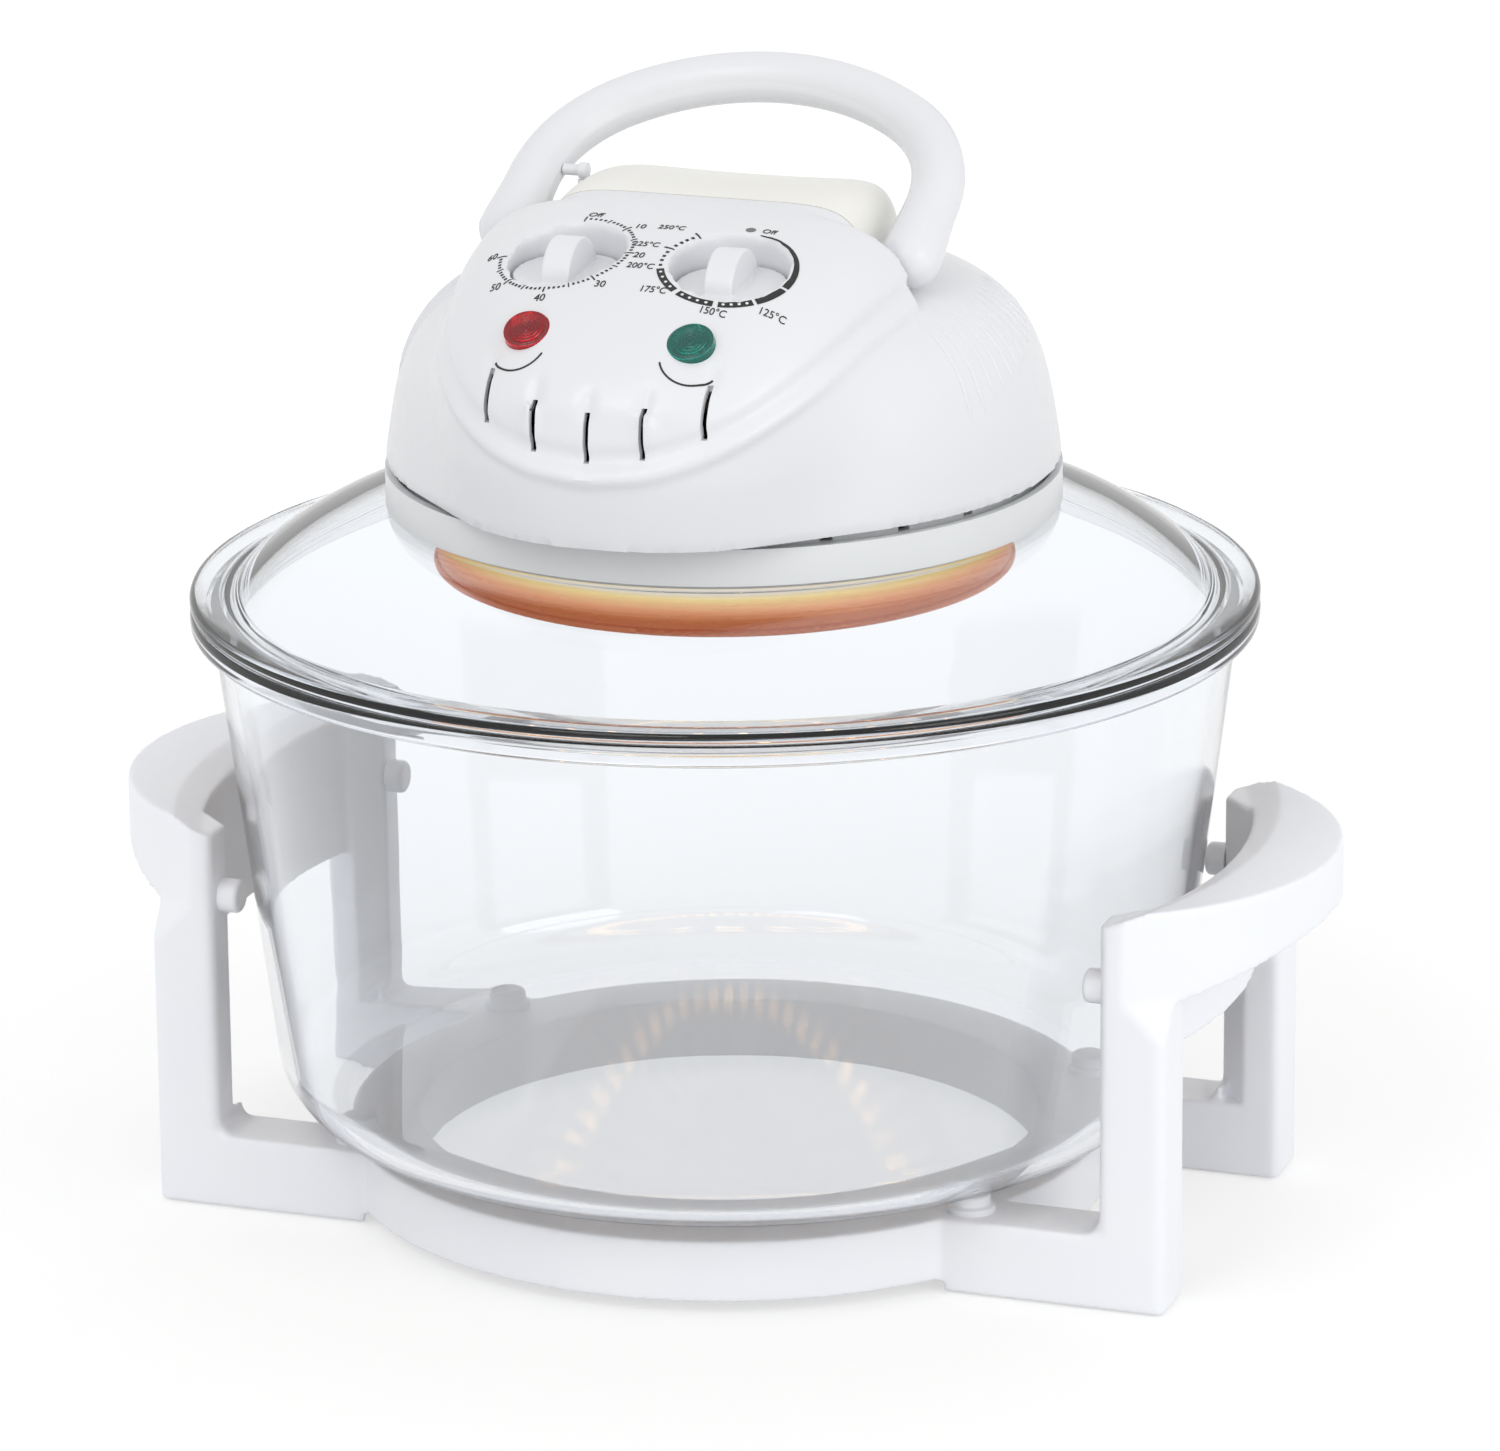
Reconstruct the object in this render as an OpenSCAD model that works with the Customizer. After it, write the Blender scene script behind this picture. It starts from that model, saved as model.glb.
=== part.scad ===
// Halogen oven: a glass bowl in a white stand, closed by a lift-off glass lid that carries the heater head.
// Millimetres, +Z up. The origin is on the table under the axis of the bowl, and the dials face -Y.

/* [Bowl] */
// Outer radius of the bowl's rim
rim_r = 165; // [162:1:170]
// Height of the bowl
bowl_h = 163; // [150:1:180]
// Radius of the bowl's flat floor
bowl_floor_r = 118.5; // [112:0.5:120]
// Radius of the rounding between floor and wall
bowl_corner_r = 23; // [15:1:30]
// Thickness of the bowl's glass
bowl_wall = 4.2; // [3:0.1:6]
// Lean of the bowl's wall from upright, in degrees
bowl_draft = 7.1; // [5:0.1:8]
// Height of the bead around the bowl's rim
bead_h = 6.5; // [4:0.5:10]
// Height of the bowl's floor above the table
bowl_lift = 30; // [27:1:36]

/* [Lid] */
// Thickness of the lid's flange
flange_t = 4.3; // [3:0.1:6]
// Inner radius of the lid's flange
flange_in_r = 152; // [148:1:153]
// Thickness of the lid's glass
lid_t = 4; // [3:0.5:5]
// Rise of the lid from its flange to its collar
lid_rise = 25; // [20:1:32]
// Outer radius of the flat collar under the heater head
collar_r = 101; // [99:1:110]
// Radius of the hole for the heater
lid_hole_r = 91; // [90.5:0.5:94]
// Depth of the locating lip inside the bowl
lip_h = 6; // [3:1:12]
// Height of the silicone gasket under the head
gasket_h = 1.7; // [1:0.1:3]

/* [Stand] */
// Outer radius of the base ring
ring_r = 119.5; // [115:0.5:125]
// Width of the base ring
ring_w = 22.5; // [16:0.5:24]
// Height of the ring and the foot bars
bar_h = 24; // [18:1:25]
// Clearance of the ring over the table
ring_clear = 4.3; // [2:0.1:8]
// Depth of a foot bar and of a post
bar_d = 22; // [18:1:24]
// Distance of the posts' outer faces from the middle, front and back
stand_y = 74; // [70:1:78]
// Distance of the posts' inner faces from the middle, left and right
post_in_x = 143.3; // [142:0.1:146]
// Width of a post
post_w = 21; // [16:0.1:24]
// Rounding of the posts' upright edges
post_edge = 3; // [2:0.5:6]
// Height of the stand at its grips
grip_top = 126.4; // [118:0.1:135]
// Height of the grips' outer face in the middle
grip_face = 18; // [14:1:24]
// How much lower the outer face reaches at the posts
grip_arch = 12; // [4:1:16]
// Height of the grips' inner wall
grip_wall_h = 49.5; // [40:0.5:54]
// Thickness of the grips' inner wall at its foot
grip_wall_t = 2; // [2:0.5:5]
// Radius of the grips' inner wall, about the axis of the bowl
grip_in_r = 163; // [160:1:168]
// Distance from the middle to the outermost point of a grip
grip_out_x = 195.3; // [188:0.1:205]
// Radius of the grips' outer face, in plan
grip_r = 83.6; // [80:0.1:100]
// Width of the bevel along the grips' inner edge
grip_bevel = 8.7; // [4:0.1:12]
// Drop of that bevel
grip_drop = 4; // [2:0.5:6]
// Distance of a bowl rest from the middle, left and right
rest_x = 100; // [98:1:106]
// Radius of a bowl rest
rest_r = 6; // [4:0.5:8]
// Radius of the flange at a bowl rest's foot
rest_foot_r = 7.5; // [6:0.5:9]
// Radius of a side bumper
bumper_r = 5.3; // [4:0.1:7]
// Height of the side bumpers' axes
bumper_z = 100.5; // [90:0.5:110]
// Radius of a rubber foot pad
pad_r = 8; // [5:0.5:9]
// Height of a rubber foot pad
pad_h = 2; // [1.5:0.5:4]
// How far the foot pads stand out
pad_out = 0.5; // [0.3:0.1:1]
// Radius of a stand screw's shank
stand_screw_r = 2; // [1.5:0.1:3]
// Length of a stand screw
stand_screw_l = 30; // [26:1:40]

/* [Head] */
// Outer radius of the ring under the head
base_r = 104; // [102:0.5:110]
// Height of that ring
base_h = 11.3; // [8:0.1:14]
// Gap between that ring and the housing
vent_gap = 2.5; // [1.5:0.1:5]
// Height of the domed housing
dome_h = 61.4; // [56:0.2:68]
// Fall of the dome's top from its flat middle to its shoulder
deck_fall = 6; // [3:0.5:9]
// Radius of the dome's flat middle
dome_deck_r = 46; // [44.5:0.5:52]
// Radius of the opening in the dome's top
deck_hole_r = 34; // [30:1:34.5]
// How far the front of the head reaches
front_reach = 118; // [112:1:122]
// Thickness of the head's shells
shell = 2.5; // [2:0.1:3]
// Radius of the wall with the vent holes
vent_wall_r = 98.5; // [96:0.5:99]
// Number of vent holes
vent_holes = 24; // [8:1:36]
// Height of the control panel's top above the head's ring
panel_top = 97; // [94:1:102]
// Half width of the control panel at its shoulders
shoulder_w = 70.5; // [67:0.5:74]
// Half width of the cover between the arms of the handle
mid_w = 53.5; // [50:0.5:54]
// Place of the shoulders' rear end
shoulder_y = -24.5; // [-30:0.5:-24]
// Place of the seam between panel and rear cover
seam_y = -16; // [-18:0.5:-14]
// Length of the rear cover
rear_len = 67; // [60:1:68]

/* [Controls] */
// Distance of a dial from the middle
dial_x = 25.7; // [24:0.1:28]
// Place of the dials along Y
dial_y = -64.5; // [-68:0.5:-62]
// Fall of the panel at the dials towards the front
panel_tilt = 17.5; // [12:0.5:22]
// Tilt of the knobs' axes
knob_tilt = 6; // [3:0.5:10]
// Radius of a knob
knob_r = 16.7; // [14:0.1:17.5]
// Depth of a dial's recess
well_depth = 10; // [9:0.5:11]
// Depth of a knob's disc below the panel
knob_sunk = 5.5; // [5:0.1:6.5]
// Height of a knob's bar over its disc
grip_bar_h = 10.5; // [7:0.5:12]
// Width of a knob's bar
grip_bar_w = 9; // [5:0.5:12]
// Length of a knob's bar
grip_bar_l = 25; // [24:0.5:28]
// Radius of a knob's shaft
knob_shaft_r = 3; // [2.5:0.1:4]
// Radius of a signal lens
lens_r = 7; // [5:0.5:9]
// Place of the lenses along Y
lens_y = -99; // [-102:0.2:-98]
// Tilt of the lenses
lens_tilt = 36; // [30:1:45]
// Spacing of the vent slots in the panel
slot_pitch = 17; // [14:0.1:18]
// Width of a vent slot
slot_w = 1.5; // [1:0.1:3]
// Height of a vent slot
slot_h = 13; // [8:0.5:14]
// Side of the timer's and the thermostat's body
unit_w = 38; // [30:1:42]
// Height of the timer's and the thermostat's body
unit_h = 24; // [16:1:26]

/* [Handle] */
// Distance of an arm's axis from the middle
arm_x = 64.5; // [64:0.5:70]
// Radius of the handle's tube
tube_r = 8.2; // [6:0.1:9]
// Radius of the handle's rounded ends
arm_end_r = 9.5; // [8:0.1:9.6]
// Length of the handle from its hinge to the axis of its arch
handle_len = 77.5; // [74:0.5:90]
// Height of the arch over the straight arms
arch_rise = 53.5; // [50:0.5:60]
// Radius of the arch's corners
arch_corner_r = 48; // [40:1:49]
// Lean of the handle, in degrees above level
handle_lean = 28.5; // [25:0.5:60]
// Place of the hinge along Y
hinge_y = -12; // [-13:0.5:-11]
// Height of the hinge above the dome's deck
hinge_up = 7; // [6.9:0.1:10]
// Radius of the handle's rod
rod_r = 3; // [2:0.1:4]
// Distance of the safety peg from the hinge
peg_at = 28.2; // [26:0.1:31]
// Length of the safety peg
peg_len = 6.8; // [6:0.1:7.2]
// Radius of the safety peg
peg_r = 2.5; // [1.5:0.1:3]

/* [Heater] */
// Outer radius of the reflector pan
pan_r = 88; // [84:0.5:90]
// Depth of the reflector pan
pan_depth = 22; // [20:1:30]
// Thickness of the pan's steel
steel_t = 1; // [0.8:0.1:1.5]
// Number of slots around the pan's upper edge
pan_slots = 48; // [12:1:72]
// Radius of the lamp's ring
lamp_ring_r = 66; // [62:1:74]
// Radius of the lamp's glass tube
lamp_tube_r = 4; // [3:0.5:5]
// Radius of the convection fan
fan_r = 48; // [35:1:54]
// Number of blades on a fan
fan_blades = 6; // [3:1:9]
// Radius of the cooling fan
cool_fan_r = 36; // [25:1:38]
// Radius of the motor
motor_r = 24; // [18:1:28]
// Height of the motor
motor_h = 22; // [14:1:23]
// Radius of the motor's shaft
shaft_r = 2.5; // [2:0.1:3]
// Radius of the cord's inlet
inlet_r = 3.5; // [3:0.1:4.5]

/* [Fits] */
// Gap between pieces that are lifted apart or move past each other
loose = 0.3; // [0.2:0.05:0.5]
// Gap between a turning shaft and its bore
running = 0.06; // [0.03:0.01:0.1]

/* [Hidden] */
$fn = 96;
smooth = 32;
bar_front = stand_y - bar_d;
post_out_x = post_in_x + post_w;
post_mid_x = post_in_x + post_w / 2;
post_mid_y = stand_y - bar_d / 2;
ring_in_r = ring_r - ring_w;
grip_cx = grip_out_x - grip_r;
grip_low_z = grip_top - grip_wall_h;
grip_arch_z = grip_top - grip_face;
grip_arch_r = (pow(bar_front + 13, 2) + pow(grip_arch, 2)) / (2 * grip_arch);
grip_fillet = 24;
bowl_top = bowl_lift + bowl_h;
corner_z = bowl_lift + bowl_corner_r;
flange_z = bowl_top + loose;
lid_z = flange_z + flange_t;
collar_z = lid_z + lid_rise;
base_z = collar_z + gasket_h;
floor_t = 2.8;
ring_top = base_z + base_h;
dome_z = ring_top + vent_gap;
deck_z = dome_z + dome_h;
hinge_z = deck_z + hinge_up;
panel_z = base_z + panel_top;
pan_z = base_z - pan_depth;
ledge_z = dome_z + 6;
boss_r = 4.5;
boss_at = pan_r - boss_r - 0.5;
screw_r = 1.7;
lamp_z = pan_z + pan_depth / 2 - 1;
motor_z = base_z + 16;
arm_in_x = arm_x - tube_r;
rod_half = arm_x + 4;
white = [0.95, 0.95, 0.94];

// Point at t on the cubic curve through four control points
function bez(p, t) = pow(1 - t, 3) * p[0] + 3 * t * pow(1 - t, 2) * p[1]
    + 3 * t * t * (1 - t) * p[2] + pow(t, 3) * p[3];

// Arc in a profile, from angle a to angle b
function arc(c, r, a, b, n = 10) = [for (i = [0 : n]) c + r * [cos(a + (b - a) * i / n), sin(a + (b - a) * i / n)]];

module both_sides() {
    children();
    mirror([1, 0, 0]) children();
}

module four_corners() {
    both_sides() {
        children();
        mirror([0, 1, 0]) children();
    }
}

module ring(r_out, r_in, h) {
    difference() {
        cylinder(r = r_out, h = h);
        translate([0, 0, -1]) cylinder(r = r_in, h = h + 2);
    }
}

// Upright bar with rounded edges, from its lowest corner
module rounded_bar(w, d, h, r) {
    linear_extrude(h) {
        translate([r, 0]) square([w - 2 * r, d]);
        translate([0, r]) square([w, d - 2 * r]);
        for (x = [r, w - r], y = [r, d - r]) translate([x, y]) circle(r = r, $fn = smooth);
    }
}

// Stand

module base_frame() color(white) difference() {
    union() {
        translate([0, 0, ring_clear]) ring(ring_r, ring_in_r, bar_h - ring_clear);
        four_corners() difference() {
            translate([ring_in_r - 8, bar_front, pad_out])
                rounded_bar(post_out_x - ring_in_r + 8, bar_d, bar_h - pad_out, post_edge);
            translate([0, 0, -1]) cylinder(r = ring_in_r + 2, h = bar_h + 2);
            translate([0, 0, -1]) cylinder(r = ring_r, h = ring_clear + 1);
        }
    }
    four_corners() translate([post_mid_x, post_mid_y, 0]) {
        cylinder(r = stand_screw_r + 0.2, h = bar_h + 1);
        cylinder(r = 2 * stand_screw_r + 0.5, h = 12);
        translate([-18, 0, 0]) cylinder(r = pad_r + 0.1, h = pad_h);
    }
}

// Post whose outer corner runs into the grip's round face near its top
module post() difference() {
    translate([post_in_x, bar_front, bar_h]) rounded_bar(post_w, bar_d, grip_top - bar_h, post_edge);
    translate([post_in_x, bar_front, bar_h - 1]) rotate([0, 0, 45]) translate([-6.6, -6.6, 0])
        cube([13.2, 13.2, grip_top]);
    translate([post_mid_x, post_mid_y, 0]) cylinder(r = stand_screw_r - 0.1, h = stand_screw_l + 2);
    translate([grip_cx, 0, grip_top]) rotate_extrude() polygon([[grip_r + 7.4, -42], [grip_r, -28],
        [grip_r, 5], [grip_r + 40, 5], [grip_r + 40, -42]]);
}

// Plate of the grip in plan, as deep as its inner wall
module grip_plate() difference() {
    intersection() {
        translate([grip_cx, 0, grip_low_z]) cylinder(r = grip_r, h = grip_wall_h);
        translate([post_in_x, -stand_y, grip_low_z]) cube([grip_out_x, 2 * stand_y, grip_wall_h]);
    }
    translate([0, 0, grip_low_z - 1]) cylinder(r = grip_in_r, h = grip_top);
}

// Room for the fingers under the grip: an arch between the posts, outside the inner wall
module finger_room() intersection() {
    translate([0, 0, grip_arch_z - grip_arch_r]) rotate([0, 90, 0]) cylinder(r = grip_arch_r, h = grip_out_x + 10);
    translate([post_in_x, -bar_front - 13, 0]) cube([grip_out_x, 2 * bar_front + 26, grip_top]);
    rotate_extrude() polygon(concat([[grip_in_r + grip_wall_t, grip_low_z - 5]],
        arc([grip_in_r + grip_wall_t + grip_fillet, grip_arch_z - grip_fillet + 4], grip_fillet, 180, 110, 5),
        [[grip_out_x + 10, grip_top], [grip_out_x + 10, grip_low_z - 5]]));
}

module side_frame() color(white) difference() {
    union() {
        post();
        mirror([0, 1, 0]) post();
        difference() {
            grip_plate();
            finger_room();
        }
    }
    rotate_extrude() polygon([
        [0, grip_top - grip_drop], [grip_in_r, grip_top - grip_drop],
        [grip_in_r + grip_bevel, grip_top], [grip_in_r + grip_bevel, grip_top + 5], [0, grip_top + 5]]);
}

module right_side_frame() side_frame();

module left_side_frame() mirror([1, 0, 0]) side_frame();

module foot_pads() color("dimgray") four_corners()
    translate([post_mid_x - 18, post_mid_y, 0]) cylinder(r = pad_r, h = pad_h);

module bowl_rest_pegs() color(white) four_corners() translate([rest_x, post_mid_y, bar_h]) {
    cylinder(r = rest_foot_r, h = 2);
    cylinder(r = rest_r, h = bowl_lift - loose - bar_h);
}

// Reach of the glass at the height of the bumpers' upper edges, next to their inner sides
bumper_wall_r = bowl_floor_r + bowl_corner_r * cos(bowl_draft)
    + (bumper_z + bumper_r - corner_z + bowl_corner_r * sin(bowl_draft)) * tan(bowl_draft);
bumper_tip_x = sqrt(pow(bumper_wall_r, 2) - pow(post_mid_y - bumper_r, 2)) + loose;

module side_bumpers() color(white) four_corners() translate([bumper_tip_x, post_mid_y + 2, bumper_z])
    rotate([0, 90, 0]) cylinder(r = bumper_r, h = post_in_x - bumper_tip_x);

module stand_screws() color("gray") four_corners() translate([post_mid_x, post_mid_y, 0]) {
    translate([0, 0, 9]) cylinder(r = 2 * stand_screw_r, h = 3);
    translate([0, 0, 12]) cylinder(r = stand_screw_r - 0.1, h = stand_screw_l - 12);
}

// Bowl and lid

// Profile of the bowl's surface, set in by inset, from its middle to the top of its wall
function bowl_line(inset) = let (
        r = bowl_corner_r - inset,
        foot = [bowl_floor_r + r * cos(bowl_draft), corner_z - r * sin(bowl_draft)])
    concat([[0, bowl_lift + inset]],
        arc([bowl_floor_r, corner_z], r, -90, -bowl_draft),
        [[foot[0] + (bowl_top - foot[1]) * tan(bowl_draft), bowl_top]]);

function reversed(p) = [for (i = [len(p) - 1 : -1 : 0]) p[i]];

bowl_mouth_r = bowl_line(bowl_wall)[len(bowl_line(bowl_wall)) - 1][0];

module glass_bowl() color("lightblue", 0.35) {
    rotate_extrude($fn = 144) polygon(concat(bowl_line(0), reversed(bowl_line(bowl_wall))));
    rotate_extrude($fn = 144) polygon(concat([[bowl_mouth_r + 1, bowl_top - bead_h - 3]],
        [[bowl_mouth_r + bowl_wall + 1, bowl_top - bead_h]],
        arc([rim_r - 2, bowl_top - bead_h + 2.5], 2, -60, 0, 4),
        arc([rim_r - 2, bowl_top - 2], 2, 0, 90, 4), [[bowl_mouth_r + 1, bowl_top]]));
}

lip_r = bowl_mouth_r - 1;
lid_curve = [[flange_in_r, lid_z], [flange_in_r - 12, lid_z + 0.5 * lid_rise],
    [collar_r + 20, collar_z - 1.5], [collar_r, collar_z]];
lid_steps = 12;

module glass_lid() color("lightblue", 0.35) difference() {
    rotate_extrude($fn = 144) polygon(concat(
        [[lid_hole_r, collar_z - lid_t], [lid_hole_r, collar_z]],
        [for (i = [lid_steps : -1 : 0]) bez(lid_curve, i / lid_steps)],
        [[rim_r - 1.5, lid_z], [rim_r, lid_z - 1.5], [rim_r, flange_z + 1.5], [rim_r - 1.5, flange_z]],
        [[lip_r, flange_z], [lip_r, flange_z - lip_h], [lip_r - lid_t, flange_z - lip_h]],
        [for (i = [0 : lid_steps]) bez(lid_curve, i / lid_steps) - [lid_t * (1 - i / lid_steps) + 1, lid_t]]));
}

module lid_gasket() color("dimgray") translate([0, 0, collar_z]) ring(collar_r - 0.5, lid_hole_r + 1, gasket_h);

// Head

// Ring that the head stands on, its floor, the wall with the vent holes, and pillars for the housing's screws
module lower_housing() color([0.9, 0.91, 0.92]) difference() {
    union() {
        translate([0, 0, base_z]) ring(base_r, vent_wall_r - 1, base_h);
        translate([0, 0, base_z]) ring(base_r, shaft_r + 3.5, floor_t);
        translate([0, 0, base_z]) ring(vent_wall_r, vent_wall_r - shell, ledge_z - base_z);
        at_screws(boss_at) translate([0, 0, base_z + 1]) cylinder(r = boss_r, h = ledge_z - base_z - 1);
    }
    translate([0, 0, base_z + floor_t]) ring(base_r - 2.4, vent_wall_r, base_h);
    for (i = [0 : vent_holes - 1]) rotate([0, 0, 360 / vent_holes * (i + 0.5)])
        translate([vent_wall_r - 2 * shell, -2, ring_top - 0.5]) cube([3 * shell, 4, vent_gap + 2]);
    at_screws(boss_at) translate([0, 0, base_z - 1]) {
        cylinder(r = screw_r + 0.2, h = 40);
        cylinder(r = 2 * screw_r + 0.3, h = 3.6);
    }
    lamp_ends() cylinder(r = lamp_end_r + 1, h = 40);
    for (a = [0 : 120 : 240]) rotate([0, 0, a + 30]) translate([boss_at - 30, 0, base_z - 1])
        cylinder(r = screw_r, h = floor_t + 2);
    sensor_place() translate([0, 0, -20]) cylinder(r = 1.8, h = 60);
}

module at_screws(r) {
    for (a = [45 : 90 : 315]) rotate([0, 0, a]) translate([r, 0, 0]) children();
}

// Surface of the dome: steps go up its profile, and the angle runs from the front
dome_curve = [[base_r - 0.2, dome_z], [base_r - 5.7, dome_z + 0.62 * dome_h],
    [base_r - 7.5, deck_z - deck_fall], [dome_deck_r, deck_z]];
dome_steps = 14;
dome_sides = 72;

function dome_r(r, z, turn) = let (
        up = (z - dome_z) / dome_h,
        front = front_reach + 3 * min(1, 3 * up),
        spread = 28 + 10 * pow(1.2 * up, 1.5))
    r + max(0, front - r) * exp(-pow(abs(turn) / spread, 3));

function dome_row(t, inset) = let (p = bez(dome_curve, t), flat = t * t * t)
    [for (j = [0 : dome_sides - 1]) let (
            turn = 360 * j / dome_sides - 180,
            r = dome_r(p[0], p[1], turn) - inset * (1 - flat))
        [r * sin(turn), -r * cos(turn), p[1] - inset * flat]];

// Closed shell between two stacks of rings
module ring_shell(outer, inner) {
    rows = concat(outer, reversed(inner));
    n = len(rows[0]);
    m = len(rows);
    polyhedron(points = [for (row = rows) each row],
        faces = [for (i = [0 : m - 1], j = [0 : n - 1]) let (
                a = i * n + j, b = i * n + (j + 1) % n,
                c = ((i + 1) % m) * n + (j + 1) % n, d = ((i + 1) % m) * n + j)
            each [[a, c, b], [a, d, c]]]);
}

// Full body over a stack of rings
module full_body(rows) {
    n = len(rows[0]);
    m = len(rows);
    polyhedron(points = [for (row = rows) each row], faces = concat(
        [for (i = [0 : m - 2], j = [0 : n - 1]) let (
                a = i * n + j, b = i * n + (j + 1) % n, c = (i + 1) * n + (j + 1) % n, d = (i + 1) * n + j)
            each [[a, c, b], [a, d, c]]],
        [[for (j = [0 : n - 1]) j]], [[for (j = [n - 1 : -1 : 0]) (m - 1) * n + j]]));
}

// Closed shell between two open sheets with equal rows
module sheet_shell(outer, inner) {
    n = len(outer[0]);
    m = len(outer);
    shift = n * m;
    polyhedron(points = concat([for (row = outer) each row], [for (row = inner) each row]),
        faces = concat(
            [for (i = [0 : m - 2], j = [0 : n - 2]) let (a = i * n + j)
                each [[a, a + n + 1, a + 1], [a, a + n, a + n + 1]]],
            [for (i = [0 : m - 2], j = [0 : n - 2]) let (a = shift + i * n + j)
                each [[a, a + 1, a + n + 1], [a, a + n + 1, a + n]]],
            [for (i = [0 : m - 2], e = [0, n - 1]) let (a = i * n + e, b = a + n)
                each e == 0 ? [[a, shift + a, b], [b, shift + a, shift + b]]
                    : [[a, b, shift + a], [b, shift + b, shift + a]]],
            [for (j = [0 : n - 2], e = [0, (m - 1) * n]) let (a = e + j, b = a + 1)
                each e == 0 ? [[a, b, shift + a], [b, shift + b, shift + a]]
                    : [[a, shift + a, b], [b, shift + a, shift + b]]]));
}

// Middle line of the panel, as [y, z]: up its front wall, then back over its top
wall_line = [[-front_reach - 2.8, dome_z + 24.1], [-front_reach - 0.6, dome_z + 42]];
top_line = [wall_line[1], [-front_reach + 1, dome_z + 50], [-front_reach + 30, panel_z - 2], [shoulder_y, panel_z]];
// Edge of the panel on the dome, as [half width, y, z]
edge_line = [[17, -front_reach - 1.4, dome_z + 26.2], [53.2, -front_reach + 5, dome_z + 33.5],
    [65.6, -front_reach + 37, deck_z - 6.1], [shoulder_w, shoulder_y, deck_z - 1.8]];
panel_steps = 20;
wall_share = 0.25;
edge_steps = 20;

function mid_point(s) = s < wall_share ? wall_line[0] + (wall_line[1] - wall_line[0]) * s / wall_share
    : bez(top_line, (s - wall_share) / (1 - wall_share));

// Points across a shell at one station: from its edge over the middle to its other edge
function across(mid, edge, box, power) = [for (j = [-edge_steps : edge_steps]) let (
        t = sin(90 * j / edge_steps),
        drop = (1 - box) * t * t + box * (1 - sqrt(max(0, 1 - pow(abs(t), power)))))
    [edge[0] * t, mid[0] + (edge[1] - mid[0]) * t * t, mid[1] + (edge[2] - mid[1]) * drop]];

function lowered(p, h) = p - [0, 0, h];

panel_rows = concat(
    [for (i = [0 : panel_steps]) let (s = i / panel_steps)
        across(mid_point(s), lowered(bez(edge_line, s), 5 * max(0, s - 0.4)), min(1, s / wall_share), 4.5)],
    [across([shoulder_y + 1.2, panel_z + 0.1], [mid_w, shoulder_y + 1.2, deck_z - 3.5], 1, 6),
     across([seam_y - loose, panel_z + 0.4], [mid_w, seam_y - loose, deck_z - 3.5], 1, 8)]);

rear_y = seam_y + rear_len;
rear_mid = [[seam_y, panel_z + 0.4], [seam_y + 0.4 * rear_len, panel_z + 3.5],
    [rear_y, panel_z - 1], [rear_y, deck_z - 4]];
rear_edge = [[mid_w, seam_y, deck_z - 4], [mid_w + 2, seam_y + 0.6 * rear_len, deck_z - 4],
    [mid_w - 8, rear_y, deck_z - 4], [14, rear_y, deck_z - 4]];
rear_steps = 16;
rear_rows = [for (i = [0 : rear_steps]) let (s = i / rear_steps)
    across(bez(rear_mid, s), bez(rear_edge, s), 1, 8 + 4 * min(1, 3 * s))];

// The inner sheet of a shell: the outer one drawn in towards a middle point
function drawn_in(rows, c, w) = [for (row = rows) [for (p = row)
    let (d = p - c) c + d * (1 - w / norm(d))]];

panel_core = [0, -58, deck_z - 16];

// Body between a lower sheet across the panel's edge and a great height
module above_edge(edge) {
    n = len(edge);
    low = [for (e = edge) each [[-e[0], e[1], e[2]], [e[0], e[1], e[2]]]];
    high = [for (p = low) p + [0, 0, 80]];
    k = 2 * n;
    polyhedron(points = concat(low, high), faces = concat(
        [for (i = [0 : n - 2]) let (a = 2 * i) each [[a, a + 1, a + 3], [a, a + 3, a + 2]]],
        [for (i = [0 : n - 2]) let (a = k + 2 * i) each [[a, a + 3, a + 1], [a, a + 2, a + 3]]],
        [for (i = [0 : n - 2]) let (a = 2 * i) each [[a, a + 2, k + a + 2], [a, k + a + 2, k + a]]],
        [for (i = [0 : n - 2]) let (a = 2 * i + 1) each [[a, k + a + 2, a + 2], [a, k + a, k + a + 2]]],
        [[0, k, 1], [1, k, k + 1], [k - 2, k - 1, 2 * k - 2], [k - 1, 2 * k - 1, 2 * k - 2]]));
}

edge_points = [for (i = [0 : panel_steps]) bez(edge_line, i / panel_steps)];

module panel_cut() above_edge(concat(
    [[17, -front_reach - 15, dome_z + 23.6], [17, -front_reach - 3.5, dome_z + 23.6]], edge_points));

// The dome as a full body, with the place for the panel cut away
module dome_body() difference() {
    full_body([for (i = [0 : dome_steps]) dome_row(i / dome_steps, 0)]);
    panel_cut();
}

module upper_housing() color(white) difference() {
    union() {
        difference() {
            ring_shell([for (i = [0 : dome_steps]) dome_row(i / dome_steps, 0)],
                [for (i = [0 : dome_steps]) dome_row(i / dome_steps, shell)]);
            panel_cut();
            above_edge([for (p = edge_points) p + [-shell - 0.5, shell + 0.8, -9]]);
        }
        translate([0, 0, deck_z - shell]) ring(dome_deck_r + 1, deck_hole_r, shell);
        translate([0, 0, ledge_z + 0.2]) ring(base_r - shell + 0.3, vent_wall_r - 3, 2);
        at_screws(boss_at) translate([0, 0, ledge_z + 0.2]) {
            cylinder(r = boss_r, h = 24);
            translate([0, -1.5, 0]) cube([base_r - boss_at - shell - 1, 3, 12]);
        }
    }
    at_screws(boss_at) translate([0, 0, ledge_z]) cylinder(r = screw_r - 0.1, h = 12);
    plunger_place() translate([0, 0, -30]) cylinder(r = 2.4, h = 60);
    for (side = [-1, 1]) dial_place(side) unit_box(0.5);
    translate([0, base_r, dome_z + 16]) rotate([90, 0, 0]) cylinder(r = inlet_r + 2.1, h = 20, center = true);
}

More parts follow.
